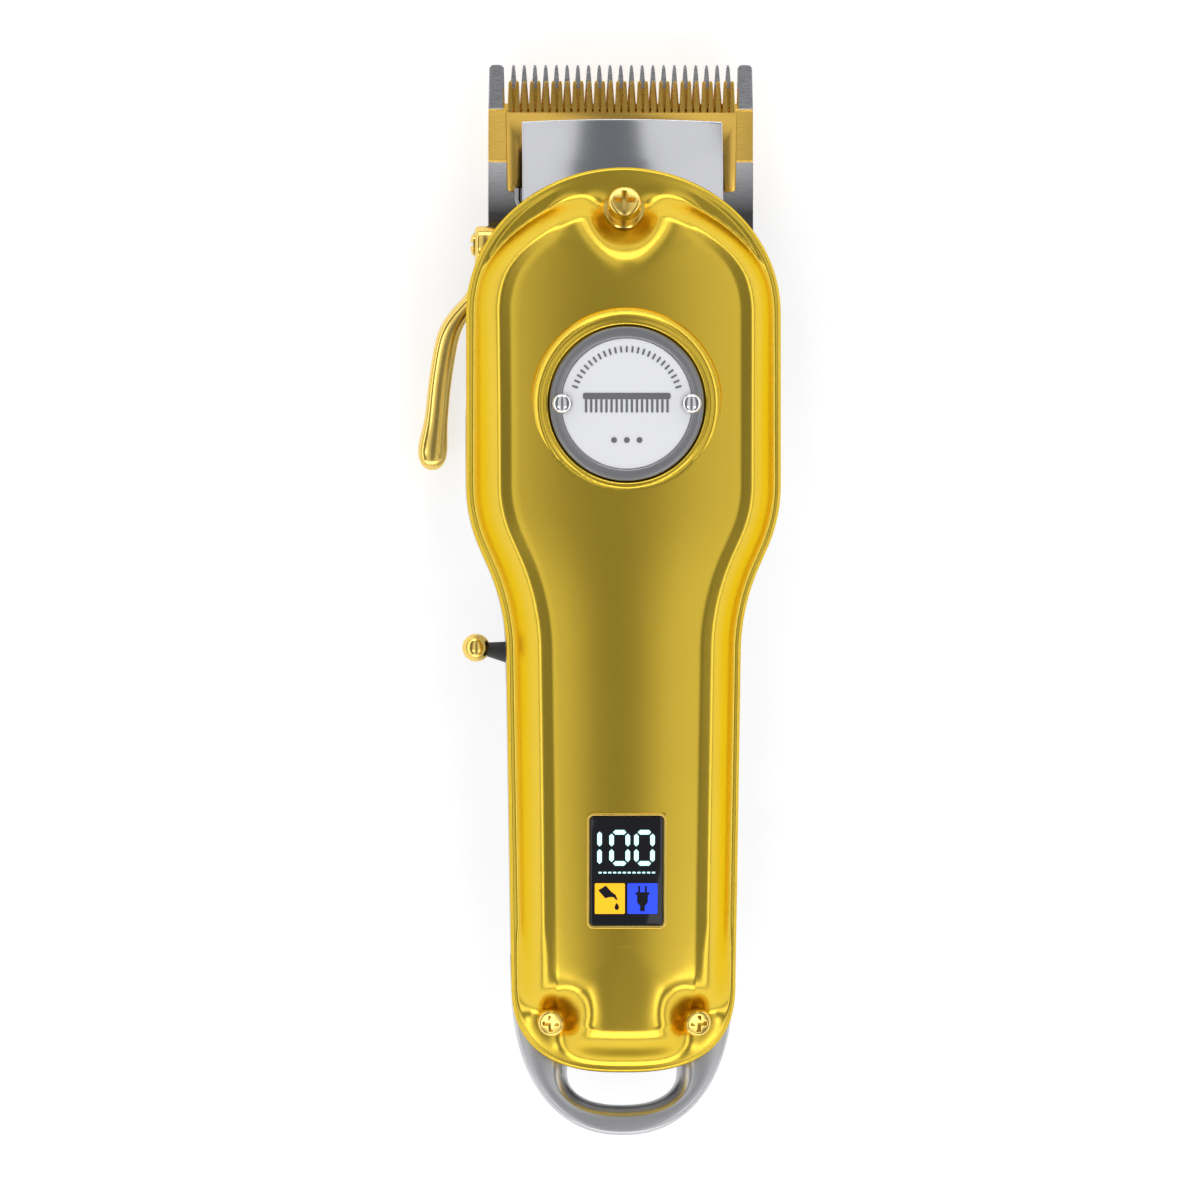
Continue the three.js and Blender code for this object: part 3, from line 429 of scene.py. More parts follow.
# A notch's middle lies a little outside its screw and it flares towards the edge; the blends are the widths in
# millimetres over which its wall meets the panel and the ledge.
NOTCH_SHIFT = 0.6
NOTCH_FLARE = 0.85
NOTCH_BLEND = 2.8
LEDGE_BLEND = 1.0
RIM_ROWS = 8
SOFTENING_PASSES = 45
# How far up the shoulder the cover is at each distance in from its edge, with its corners smoothed.
PROFILE_DEPTHS = np.arange(0, 12, 0.02)
PROFILE_CLIMB = np.interp(PROFILE_DEPTHS, [0, LEDGE_DEPTH, 2.3, 3.5, 5.1, PANEL_INSET, 12],
                          [0, 0.02, 0.34, 0.7, 0.93, 1, 1])
PROFILE_SMOOTHING = np.hanning(81) / np.hanning(81).sum()
PROFILE_CLIMB = np.convolve(np.pad(PROFILE_CLIMB, 40, mode="edge"), PROFILE_SMOOTHING, "valid")


def shoulder_profile(depth, y):
    """Height of the shell at a distance in from its edge: rim, ledge, steep shoulder, gentle bevel, panel."""
    edge = flange_z(y)
    rise = shoulder_z(y) - edge
    rim = edge - 0.55 * (1 - np.clip(depth / 0.6, 0, 1)) ** 2
    return rim + rise * np.interp(depth, PROFILE_DEPTHS, PROFILE_CLIMB)


def soft_minimum(first, second, width):
    share = np.clip(0.5 + 0.5 * (first - second) / width, 0, 1)
    return first * (1 - share) + second * share - width * share * (1 - share)


def soft_maximum(first, second, width):
    return -soft_minimum(-first, -second, width)


def sunken(heights, share, floor):
    """Lowers heights to a floor where share is 1, and raises none."""
    return np.minimum(heights, heights * (1 - share) + floor * share)


def softened(heights, share):
    """Rounds off the creases of a grid of heights where share is 1; the rim rows stay as they are."""
    share = share.copy()
    share[:RIM_ROWS] = 0
    for _ in range(SOFTENING_PASSES):
        along = (np.roll(heights, 1, 1) + np.roll(heights, -1, 1)) / 2
        inward = heights.copy()
        inward[1:-1] = (heights[2:] + heights[:-2]) / 2
        heights = heights + share * 0.5 * ((along + inward) / 2 - heights)
    return heights


def front_shell():
    """The gold cover as rows of points from its edge in to its spine, with notches, badge well and lip.

    Each point's height follows from its depth, the distance in from the edge. A notch makes the depth smaller,
    so that the same shoulder runs round it.
    """
    head = arc(0, HEAD_CENTRE_Y, HEAD_HALF_WIDTH, HEAD_HALF_LENGTH, math.pi / 2, 0, 160)
    loop, inward = even_outline([head, *tail_and_waist()], 0.55)
    insets = np.concatenate([[0, 0], np.linspace(0.12, 0.6, 5), np.linspace(0.9, PANEL_INSET, 24)])
    rows = [np.concatenate([loop + inward * inset, np.full((len(loop), 1), inset)], 1) for inset in insets]
    edge_row = rows[-1][:, :2]
    spine_y = np.clip(edge_row[:, 1], SPINE_LOW_Y, 48)
    to_spine = np.hypot(edge_row[:, 0], edge_row[:, 1] - spine_y)
    for share in np.linspace(0, 1, 30)[1:]:
        xy = np.stack([edge_row[:, 0] * (1 - share), edge_row[:, 1] * (1 - share) + spine_y * share], 1)
        rows.append(np.concatenate([xy, (PANEL_INSET + share * to_spine)[:, None]], 1))
    x, y, depth = np.concatenate(rows).T
    reach = np.tile(to_spine + PANEL_INSET, len(rows))
    # the ledge is wider at the nose and at the tail
    wide_ledge = 2.3 * step(y, 55, 70) + 0.8 * step(-y, 64, 76)
    depth = np.where(depth < LEDGE_DEPTH, depth, np.maximum(depth - wide_ledge, LEDGE_DEPTH))
    reach = reach - wide_ledge
    # the panel's low dome rises from the edge to the spine and fades out beside the notches
    crown_share = np.clip((depth - CROWN_START) / (reach - CROWN_START), 0, 1)
    beside = np.ones(len(x))
    soften = step(-y, 56, 66)
    for screw in SCREWS:
        seat = screw.head_top - screw_axis(screw) * screw.height
        out = Vector(screw.lean).normalized()
        dx, dy = x - seat.x - out.x * NOTCH_SHIFT, y - seat.y - out.y * NOTCH_SHIFT
        along = np.maximum(dx * out.x + dy * out.y, 0)
        distance = np.sqrt(np.maximum(dx * dx + dy * dy - along * along, 0)) - NOTCH_FLARE * along
        near = LEDGE_DEPTH + (distance - screw.notch) * screw.steepness
        soften = np.maximum(soften, 1 - step(np.hypot(dx, dy), screw.notch + 5, screw.notch + 9))
        beside = beside * step(near, 1.0, 6.5)
        notched = soft_maximum(soft_minimum(depth, near, NOTCH_BLEND), LEDGE_DEPTH, LEDGE_BLEND)
        depth = np.minimum(notched, depth)
    depth = np.maximum(depth, 0)
    z = shoulder_profile(depth, y) + PANEL_CROWN * (1 - (1 - crown_share) ** 2) * beside
    z = softened(z.reshape(len(rows), -1), soften.reshape(len(rows), -1)).ravel()
    badge_top = shoulder_z(BADGE_Y) + PANEL_CROWN
    inside_badge = 1 - step(np.hypot(x, y - BADGE_Y), 13.7, 14.6)
    z = sunken(z, inside_badge, badge_top - 1.1)
    display_top = shoulder_z(DISPLAY_Y) + PANEL_CROWN
    beyond_display = np.maximum(np.abs(x) - 5.9, np.abs(y - DISPLAY_Y) - 9.0)
    z = sunken(z, 1 - step(beyond_display, 0, 0.4), display_top - 0.9)
    z[: len(loop)] = PARTING_Z
    points = np.stack([x, y, z], 1) * MM
    mesh = mesh_of("front_shell_skin", points, grid_faces(len(rows), len(loop)))
    mesh = modified(mesh, ("SOLIDIFY", {"thickness": 1.4 * MM, "offset": -1.0}))
    piece("front_shell_fine", mesh, GOLD_SHELL, "housing", "gold_shell", ("front_shell",), 60)
    # raised lip round the badge
    top = badge_top
    lip = [(13.5, top - 1.6), (13.55, top - 0.2), (13.75, top + 0.25), (14.05, top + 0.42),
           (14.4, top + 0.36), (14.7, top + 0.2), (15.0, top + 0.24), (15.35, top + 0.16),
           (15.7, top - 0.12), (16.1, top - 0.45), (16.6, top - 0.95), (16.6, top - 1.6), (13.5, top - 1.6)]
    lip_mesh = lathe("badge_lip", lip, Matrix.Translation((0, BADGE_Y * MM, 0)), 128)
    piece("badge_lip", lip_mesh, GOLD_SHELL, "housing", "gold_shell", (), 60)


SWITCH_Y = -9.5


def rear_shell():
    """A closed tub with two skins, cut open for the blades, the loop, the plug and the switch."""
    rim = box_mm("rear_shell")[1].z
    nose_half, nose_y, nose_corner, sweep_y, cheek_y = 20.9, 60.7, 11.8, 42.0, 31.0
    wall, floor_thickness = 1.7, 1.8
    flat = np.stack([np.linspace(0, nose_half - nose_corner, 12), np.full(12, nose_y)], 1)
    bend = arc(nose_half - nose_corner, nose_y - nose_corner, nose_corner, nose_corner, math.pi / 2, 0, 40)
    t = np.linspace(0, 1, 60)[:, None]
    p0, p1 = np.array([nose_half, nose_y - nose_corner]), np.array([nose_half, sweep_y])
    p2, p3 = np.array([HEAD_HALF_WIDTH, sweep_y]), np.array([HEAD_HALF_WIDTH, cheek_y])
    cheek = (1 - t) ** 3 * p0 + 3 * (1 - t) ** 2 * t * p1 + 3 * (1 - t) * t * t * p2 + t ** 3 * p3
    loop, inward = even_outline([flat, bend, cheek, *tail_and_waist()], 0.6)

    def lift(y):
        """How far the underside curves up at the nose and at the tail."""
        at_nose = 9.2 * (np.maximum(y - 28, 0) / (nose_y - 28)) ** 2
        return at_nose + 3.4 * (np.maximum(-45 - y, 0) / 37) ** 2

    def lifted(y, level):
        return lift(y) + (1 - lift(y) / PARTING_Z) * level

    # (distance in from the outline, height) from the rim down a straight wall and round to the flat underside
    levels = [(0.0, rim), (0.0, 20.0), (0.1, 18.0)]
    for angle in np.linspace(0, math.pi / 2, 22):
        levels.append((0.1 + 10.9 * (1 - math.cos(angle) ** 0.75), 17.0 * (1 - math.sin(angle) ** 0.9)))

    def skin(levels, extra, floor, shares):
        """Rows of points down the wall, then in to the spine at these shares of the way."""
        made = []
        for inset, level in levels:
            xy = loop + inward * (inset + extra)
            made.append(np.column_stack([xy, lifted(xy[:, 1], np.maximum(level, floor))]))
        edge = made[-1]
        for share in shares:
            y = edge[:, 1] * (1 - share) + np.clip(edge[:, 1], SPINE_LOW_Y, 44) * share
            made.append(np.column_stack([edge[:, 0] * (1 - share), y, lifted(y, floor)]))
        return made

    outer = skin(levels, 0.0, 0.0, (0.4, 0.8, 1.0))
    inner = skin(levels[:-3], wall, floor_thickness, (0.6, 1.0))
    rows = inner[::-1] + outer
    mesh = mesh_of("rear_shell_skin", np.concatenate(rows) * MM, grid_faces(len(rows), len(loop)))
    nose_cut = prism("nose_cut", [(-40, 54.4), (40, 54.4), (40, 80), (-40, 80)], 13.6, 40)
    tail_cut = prism("tail_cut", [(-40, -95), (40, -95), (40, -61.6), (-40, -61.6)], 14.0, 40)
    mesh = cut_by(cut_by(mesh, nose_cut), tail_cut)
    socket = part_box("charging_socket")
    plug_z = ((socket[0] + socket[1]) / 2).z
    lay = Matrix.Translation((0, -76 * MM, plug_z)) @ Matrix.Rotation(math.pi / 2, 4, "X")
    mesh = cut_by(mesh, lathe("plug_hole", [(0, -8), (3.9, -8), (3.9, 14), (0, 14)], lay, 48))
    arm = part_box("toggle_arm")
    slot_z = (arm[0].z + arm[1].z) / 2 / MM
    slot = rounded_rectangle(4.6, 2.4, 1.6, 6, SWITCH_Y, slot_z)
    mesh = cut_by(mesh, prism("switch_slot", slot, -26, -15, place=ACROSS))
    piece("rear_shell_fine", mesh, SILVER_CASE, "housing", "silver_case", ("rear_shell",), 40)


def hanging_loop():
    """A flat ring with an eye near its end; its front half lies under the cover."""
    low, high = box_mm("hanging_loop")
    count = 160
    angles = np.linspace(0, 2 * math.pi, count, endpoint=False)
    c, s = np.cos(angles), np.sin(angles)

    def oval(half_x, half_y, centre_y, exponent):
        x = np.sign(c) * np.abs(c) ** (2 / exponent)
        y = np.sign(s) * np.abs(s) ** (2 / exponent)
        return np.stack([half_x * x, centre_y + half_y * y], 1)

    outer = oval(19.2, np.where(s < 0, 26.95, 4), -66, 2.25)
    outer[:, 1] = np.maximum(outer[:, 1], low.y)
    hole = oval(9.6, 5.8, -82, 2.3)
    flared = oval(11.6, 7.6, -82, 2.3)
    flared[:, 1] = np.where(s > 0, hole[:, 1] + 1.0, flared[:, 1])
    toward = hole - outer
    toward /= np.linalg.norm(toward, axis=1)[:, None]
    section = [  # a closed section: up the outside, over the top, down the flared eye and back underneath
        (outer + toward * 0.9, low.z), (outer + toward * 0.3, low.z + 0.3), (outer, low.z + 1.0),
        (outer, high.z - 1.2), (outer + toward * 0.15, high.z - 0.5), (outer + toward * 0.55, high.z - 0.12),
        (outer + toward * 1.1, high.z), (flared + (outer - flared) * 0.12, high.z), (flared, high.z - 0.12),
        (hole * 0.75 + flared * 0.25, high.z - 1.9), (hole, high.z - 3.2), (hole, low.z + 0.7),
        (hole - toward * 0.3, low.z + 0.2), (hole - toward * 0.8, low.z), (outer + toward * 0.9, low.z),
    ]
    rows = [np.column_stack([xy, np.full(count, z)]) for xy, z in section]
    mesh = mesh_of("hanging_loop_ring", np.concatenate(rows) * MM, grid_faces(len(rows), count))
    piece("hanging_loop_fine", mesh, SILVER_CASE, "housing", "silver_case", ("hanging_loop",), 50)


# ---- screws ----
def cross_recess(radius, depth, top):
    bars = []
    for half_x, half_y in ((radius, 0.42), (0.42, radius)):
        outline = rounded_rectangle(half_x, half_y, 0.15, 2)
        bars.append(prism("bar", outline, top - depth, top + 1))
    return bars


def case_screws():
    """Round heads with a cross recess, each on a collar and leaning out of its notch."""
    for screw in SCREWS:
        turn = Vector((0, 0, 1)).rotation_difference(screw_axis(screw)).to_matrix().to_4x4()
        r, base = screw.radius, -screw.height
        profile = [(0, base), (r * 0.9, base), (r * 0.98, base + 0.25), (r, base + 0.6), (r, -0.85),
                   (r * 0.97, -0.5), (r * 0.9, -0.2), (r * 0.82, -0.06), (r * 0.74, -0.02), (0, 0)]
        head = lathe(screw.name + "_head", profile, None, 56)
        for bar in cross_recess(r * 0.62, 1.3, 0.0):
            head = cut_by(head, bar)
        collar = lathe("collar", [(r * 0.5, base), (r + 0.75, base), (r + 0.85, base + 0.25),
                                  (r + 0.6, base + 0.5), (r * 0.5, base + 0.5), (r * 0.5, base)], None, 56)
        mesh = joined(screw.name, [head, collar])
        mesh.transform(Matrix.Translation(screw.head_top * MM) @ turn)
        piece(screw.name + "_fine", mesh, GOLD_TRIM, "housing", "gold_trim", (screw.name,), 28)


# ---- badge ----
def badge():
    """The enamelled badge, with a comb sign, a row of ticks and three dots printed on it."""
    top = (shoulder_z(BADGE_Y) + PANEL_CROWN).item()
    place = Matrix.Translation((0, BADGE_Y * MM, 0))
    ring = [(11.3, top - 0.8), (13.4, top - 0.8), (13.4, top - 0.05), (13.2, top + 0.16), (12.9, top + 0.25),
            (11.75, top + 0.25), (11.5, top + 0.16), (11.35, top - 0.05), (11.3, top - 0.8)]
    ring = lathe("ring", ring, place, 128)
    piece("badge_ring_fine", ring, GREY_METAL, "housing", "grey_metal", ("badge_ring",))
    disc = [(0, top - 0.8), (11.25, top - 0.8), (11.3, top - 0.1), (11.2, top), (0, top + 0.03)]
    disc = lathe("disc", disc, place, 128)
    piece("badge_disc_fine", disc, WHITE_ENAMEL, "housing", "white_enamel", ("badge_disc",))
    dome = [(0, -3.2), (0.9, -3.2), (0.9, 0.0), (1.82, 0.0), (1.85, 0.2)]
    dome += [(1.85 * math.cos(a), 0.2 + 1.15 * math.sin(a)) for a in np.linspace(0.15, math.pi / 2, 9)]
    for side, label in ((-1, "left"), (1, "right")):
        spot = Matrix.Translation((side * 11.2 * MM, BADGE_Y * MM, (top + 0.27) * MM))
        rivet = lathe("rivet", dome, spot, 40)
        piece(f"badge_rivet_{label}_fine", rivet, CHROME, "housing", "chrome_trim", (f"badge_rivet_{label}",))
    # printed comb pictogram, an arc of ticks above it and three dots below
    marks = []
    low, high = top + 0.01, top + 0.09
    marks.append(prism("spine", rounded_rectangle(7.6, 0.55, 0.4, 4, 0, BADGE_Y + 1.3), low, high))
    for i in range(17):
        x = (i - 8) * 0.88
        marks.append(prism("tooth", rounded_rectangle(0.2, 1.15, 0.15, 3, x, BADGE_Y - 0.4), low, high))
    for i in range(25):
        angle = math.radians(162 - 144 * i / 24)
        spin = Matrix.Translation((0, BADGE_Y * MM, 0)) @ Matrix.Rotation(angle - math.pi / 2, 4, "Z")
        marks.append(prism("tick", rounded_rectangle(0.17, 0.55, 0.12, 2, 0, 9.4), low, high, place=spin))
    for i in range(3):
        dot = rounded_rectangle(0.5, 0.5, 0.49, 5, (i - 1) * 2.2, BADGE_Y - 6.3)
        marks.append(prism("dot", dot, low, high))
    piece("badge_print", joined("badge_print", marks), PRINT_GREY, "housing", "white_enamel")


# ---- display ----
LIT_BARS = {"0": "abcdef", "1": "bc"}
BAR_GAP = 0.24
BAR_WIDTH = 0.8


def segment_outline(x0, y0, x1, y1, width):
    """A pointed bar between two ends."""
    a, b = Vector((x0, y0)), Vector((x1, y1))
    along = (b - a).normalized()
    across = Vector((-along.y, along.x)) * width / 2
    tip = along * width / 2
    return [tuple(p) for p in (a, a + tip - across, b - tip - across, b, b - tip + across, a + tip + across)]


def digit_bars(digit, x, y, width, height):
    """The lit bars of one seven-bar digit whose lower left corner is at (x, y)."""
    half = height / 2
    ends = {
        "a": (x, y + height, x + width, y + height), "d": (x, y, x + width, y),
        "b": (x + width, y + half, x + width, y + height), "c": (x + width, y, x + width, y + half),
        "e": (x, y, x, y + half), "f": (x, y + half, x, y + height),
    }
    made = []
    for key in LIT_BARS[digit]:
        x0, y0, x1, y1 = ends[key]
        gap = Vector((x1 - x0, y1 - y0)).normalized() * BAR_GAP
        made.append(segment_outline(x0 + gap.x, y0 + gap.y, x1 - gap.x, y1 - gap.y, BAR_WIDTH))
    return made


def display():
    """The display window, tilted to lie flush in the sloping cover, with its digits and two signs."""
    top = (shoulder_z(DISPLAY_Y) + PANEL_CROWN).item()
    fall = (shoulder_z(DISPLAY_Y + 1) - shoulder_z(DISPLAY_Y - 1)).item() / 2
    centre = Vector((0, DISPLAY_Y, top)) * MM
    tilt = Matrix.Rotation(math.atan(fall), 4, "X")
    level = Matrix.Translation(centre) @ tilt @ Matrix.Translation(-centre)

    def place(name, mesh, *settings):
        mesh.transform(level)
        piece(name, mesh, *settings)

    bezel = [  # half width, half length, corner radius, height
        (6.9, 10.0, 1.1, top - 0.95), (6.9, 10.0, 1.1, top + 0.02), (6.78, 9.88, 1.0, top + 0.16),
        (6.62, 9.72, 0.95, top + 0.18), (6.5, 9.6, 0.85, top + 0.08), (6.46, 9.56, 0.85, top - 0.3),
        (6.46, 9.56, 0.85, top - 0.95), (6.9, 10.0, 1.1, top - 0.95),
    ]
    rows = []
    for half_x, half_y, corner, z in bezel:
        rows.append([(x, y, z) for x, y in rounded_rectangle(half_x, half_y, corner, 8, 0, DISPLAY_Y)])
    points = np.array(rows).reshape(-1, 3) * MM
    mesh = mesh_of("bezel", points, grid_faces(len(rows), len(rows[0])))
    place("display_bezel_fine", mesh, GOLD_TRIM, "housing", "gold_trim", ("display_bezel",), 50)
    lens = prism("lens", rounded_rectangle(6.4, 9.5, 0.8, 8, 0, DISPLAY_Y), top - 0.95, top + 0.06, 0.3, 4)
    place("display_lens_fine", lens, LENS_BLACK, "housing", "black_lens", ("display_lens",), 50)
    low_z, high_z = top + 0.04, top + 0.1
    bars = []
    base = DISPLAY_Y + 1.35
    for digit, x, width, drop in (("1", -5.0, 0.3, 0.35), ("0", -2.62, 2.8, 0), ("0", 1.66, 2.8, 0)):
        bars += digit_bars(digit, x, base - drop, width, 5.4 + 2 * drop)
    digits = [prism("bar", bar, low_z, high_z) for bar in bars]
    for i in range(12):
        mark = rounded_rectangle(0.28, 0.14, 0.08, 2, -4.6 + i * 0.84, DISPLAY_Y - 0.25)
        digits.append(prism("mark", mark, low_z, high_z))
    place("display_digits", joined("digits", digits), DIGIT_GLOW, "housing", "black_lens")
    oil_x, plug_x, icon_y = -2.9, 2.75, DISPLAY_Y - 4.75
    icons = (("display_icon_oil", oil_x, YELLOW_GLOW), ("display_icon_plug", plug_x, BLUE_GLOW))
    for name, x, material in icons:
        square = prism(name, rounded_rectangle(2.6, 2.65, 0.2, 3, x, icon_y), low_z, high_z)
        place(name, square, material, "housing", "black_lens")
    drop_x, drop_y = -1.7, DISPLAY_Y - 6.1
    drop = [(drop_x + 0.5 * math.sin(a) * math.sin(a / 2), drop_y + 0.62 * math.cos(a))
            for a in np.linspace(0, 2 * math.pi, 20, endpoint=False)]
    can = [(-4.9, -3.3), (-3.6, -2.5), (-2.6, -3.6), (-1.9, -4.1), (-1.5, -5.0), (-1.9, -4.9), (-2.3, -4.5),
           (-3.0, -4.5), (-3.7, -4.7)]
    plug = [(-1.05, 1.0), (-0.65, 1.0), (-0.65, 2.0), (-0.35, 2.0), (-0.35, 1.0), (0.35, 1.0), (0.35, 2.0),
            (0.65, 2.0), (0.65, 1.0), (1.05, 1.0), (1.05, 0.6), (0.8, 0.6), (0.8, -0.6), (0.35, -1.15),
            (0.35, -2.0), (-0.35, -2.0), (-0.35, -1.15), (-0.8, -0.6), (-0.8, 0.6), (-1.05, 0.6)]
    can = [(x, DISPLAY_Y + y) for x, y in can]
    plug = [(plug_x + 1.15 * x, icon_y + 1.1 * y) for x, y in plug]
    symbols = []
    for outline in (drop, can, plug):
        symbols.append(prism("symbol", outline, high_z, high_z + 0.04))
    place("display_symbols", joined("symbols", symbols), LENS_BLACK, "housing", "black_lens")


# ---- blade cover ----
def blade_cover():
    """A bent plate, arched across, whose front edge bows back at its corners."""
    half = box_mm("blade_cover")[1].x
    front_y, bow, arch = 82.9, 0.45, 1.5
    path = np.array([(60.5, 20.3), (68, 20.3), (73.5, 20.25), (75.6, 19.95), (77.5, 19.3), (80, 18.35),
                     (82.4, 17.4), (front_y, 17.2)])
    lengths = np.concatenate([[0], np.cumsum(np.linalg.norm(np.diff(path, axis=0), axis=1))])
    lengths /= lengths[-1]
    along = np.linspace(0, 1, 36)
    ys, zs = np.interp(along, lengths, path[:, 0]), np.interp(along, lengths, path[:, 1])
    xs = np.concatenate([[-1, -0.985], np.linspace(-0.96, 0.96, 41), [0.985, 1]]) * half
    points = []
    for y, z in zip(ys, zs):
        for x in xs:
            share = (x / half) ** 2
            points.append((x, y + 0.3 - bow * share * step(y, 74, front_y), z + arch * (1 - share)))
    mesh = mesh_of("cover_skin", np.array(points) * MM, grid_faces(len(ys), len(xs), False))
    mesh = modified(mesh, ("SOLIDIFY", {"thickness": 0.7 * MM, "offset": 1.0}),
                    ("BEVEL", {"width": 0.22 * MM, "segments": 3, "limit_method": "ANGLE"}))
    piece("blade_cover_fine", mesh, COVER_CHROME, "housing", "chrome_cover", ("blade_cover",), 50)


# ---- taper lever ----
def taper_lever():
    """A bar of rounded section that swings out beside the case, with a round hub and its slotted screw."""
    pivot_y, pivot_z = 61.6, 17.8
    stations = [  # distance from the pivot, centre x, half thickness in x, half height in z
        (1.0, -24.1, 1.4, 2.9), (4.0, -24.15, 1.45, 2.5), (7.2, -24.5, 1.55, 2.0), (9.6, -25.6, 1.75, 1.75),
        (12.2, -27.9, 1.9, 1.7), (15.0, -29.6, 1.95, 1.7), (18.0, -30.4, 2.0, 1.7), (22.0, -31.0, 2.0, 1.75),
        (26.0, -31.5, 2.0, 1.8), (30.0, -31.8, 2.0, 1.9), (33.0, -32.1, 2.15, 2.1), (35.5, -32.4, 2.5, 2.4),
        (37.6, -32.55, 2.65, 2.6), (39.4, -32.55, 2.2, 2.2), (40.5, -32.55, 1.2, 1.2),
        (40.8, -32.55, 0.3, 0.3),
    ]
    data = np.array(stations)
    fine = np.linspace(0, len(data) - 1, 90)
    smooth = np.stack([np.interp(fine, range(len(data)), data[:, i]) for i in range(4)], 1)
    kernel = np.ones(7) / 7
    padded = np.pad(smooth, ((3, 3), (0, 0)), mode="edge")
    smooth = np.stack([np.convolve(padded[:, i], kernel, "valid") for i in range(4)], 1)
    count = 28
    angles = np.linspace(0, 2 * math.pi, count, endpoint=False)
    cx = np.sign(np.cos(angles)) * np.abs(np.cos(angles)) ** (2 / 3.2)
    cz = np.sign(np.sin(angles)) * np.abs(np.sin(angles)) ** (2 / 3.2)
    rows = []
    for reach, x, half_x, half_z in smooth:
        rows.append(np.stack([x + half_x * cx, np.full(count, pivot_y - reach), pivot_z + half_z * cz], 1))
    rows.insert(0, np.tile(rows[0].mean(0), (count, 1)))
    rows.append(np.tile(rows[-1].mean(0), (count, 1)))
    arm = mesh_of("lever_arm", np.concatenate(rows) * MM, grid_faces(len(rows), count))
    aside = Matrix.Translation((0, pivot_y * MM, pivot_z * MM)) @ Matrix.Rotation(-math.pi / 2, 4, "Y")
    hub = lathe("hub", [(0, 21.4), (3.0, 21.4), (3.25, 21.7), (3.25, 24.9), (3.1, 25.3), (2.8, 25.55),
                        (2.2, 25.6), (2.2, 25.3), (0, 25.3)], aside, 56)
    mesh = joined("taper_lever", [arm, hub])
    rest = Matrix.Translation((0, pivot_y * MM, pivot_z * MM)) @ Matrix.Rotation(math.radians(17), 4, "X")
    mesh.transform(rest @ Matrix.Translation((0, -pivot_y * MM, -pivot_z * MM)))
    piece("taper_lever_fine", mesh, GOLD_TRIM, "taper_lever", "gold_trim", ("taper_lever",), 45)
    screw_head = [(0, 24.6), (1.9, 24.6), (1.9, 25.9), (1.6, 26.2), (0.9, 26.35), (0, 26.4)]
    screw = lathe("lever_screw", screw_head, aside, 40)
    slot_bar = prism("slot", rounded_rectangle(2.6, 0.28, 0.1, 2), 25.9, 27)
    slot_bar.transform(aside)
    screw = cut_by(screw, slot_bar)
    piece("taper_lever_screw_fine", screw, GOLD_TRIM, "taper_lever", "gold_trim", ("taper_lever_screw",))


# ---- power toggle ----
def power_toggle():
    """A ball-ended lever that stands out of its slot; at rest it is swung 8 degrees to one side."""
    pivot_x, pivot_z = -17.3, 17.0
    pivot = Matrix.Translation((pivot_x * MM, SWITCH_Y * MM, pivot_z * MM))
    swing = pivot @ Matrix.Rotation(math.radians(-8), 4, "Z")
    aside = swing @ Matrix.Rotation(-math.pi / 2, 4, "Y")
    arm = lathe("arm", [(0, -0.6), (1.9, -0.6), (2.1, 0.2), (2.05, 1.5), (1.8, 3.0), (1.5, 4.6), (1.25, 6.0),
                        (1.15, 6.3), (0, 6.3)], aside, 40)
    piece("toggle_arm_fine", arm, BLACK_PLASTIC, "power_toggle", "black_plastic", ("toggle_arm",))
    ball_radius, ball_reach = 2.45, 8.1
    sphere = [(0, ball_reach - ball_radius)]
    for angle in np.linspace(-1.25, math.pi / 2, 26):
        sphere.append((ball_radius * math.cos(angle), ball_reach + ball_radius * math.sin(angle)))
    sphere[-1] = (0, sphere[-1][1])
    knob = lathe("knob", sphere, aside, 48)
    piece("toggle_ball_fine", knob, GOLD_TRIM, "power_toggle", "gold_trim", ("toggle_ball",), 60)


# ---- blades ----
def ribbon(profile, half_x, bevel):
    """A bar along X whose section is (Y, Z) corners."""
    return prism("bar", profile, -half_x, half_x, bevel, 2, ACROSS)


def tooth(x, root_y, tip_y, root_half, tip_half, root_z, tip_z):
    """One tooth: widths and heights at its root and its rounded tip."""
    rows = []
    for share in (0, 0.25, 0.5, 0.75, 0.93, 0.985, 1.0):
        y = root_y + (tip_y - root_y) * share
        half = root_half + (tip_half - root_half) * share
        low = root_z[0] + (tip_z[0] - root_z[0]) * share
        high = root_z[1] + (tip_z[1] - root_z[1]) * share
        if share > 0.95:
            half *= 0.75 if share < 1 else 0.3
            low += 0.1 if share < 1 else 0.3
            high -= 0.1 if share < 1 else 0.3
        chamfer = min(0.12, half * 0.4)
        section = [(-half, low + chamfer), (-half + chamfer, low), (half - chamfer, low),
                   (half, low + chamfer), (half, high - chamfer), (half - chamfer, high),
                   (-half + chamfer, high), (-half, high - chamfer)]
        rows.append([(x + u, y, v) for u, v in section])
    corners = len(rows[0])
    points = np.array(rows).reshape(-1, 3) * MM
    faces = grid_faces(len(rows), corners)
    faces.append(tuple(range(corners)))
    faces.append(tuple(range(len(points) - corners, len(points))))
    return mesh_of("tooth", points, faces)


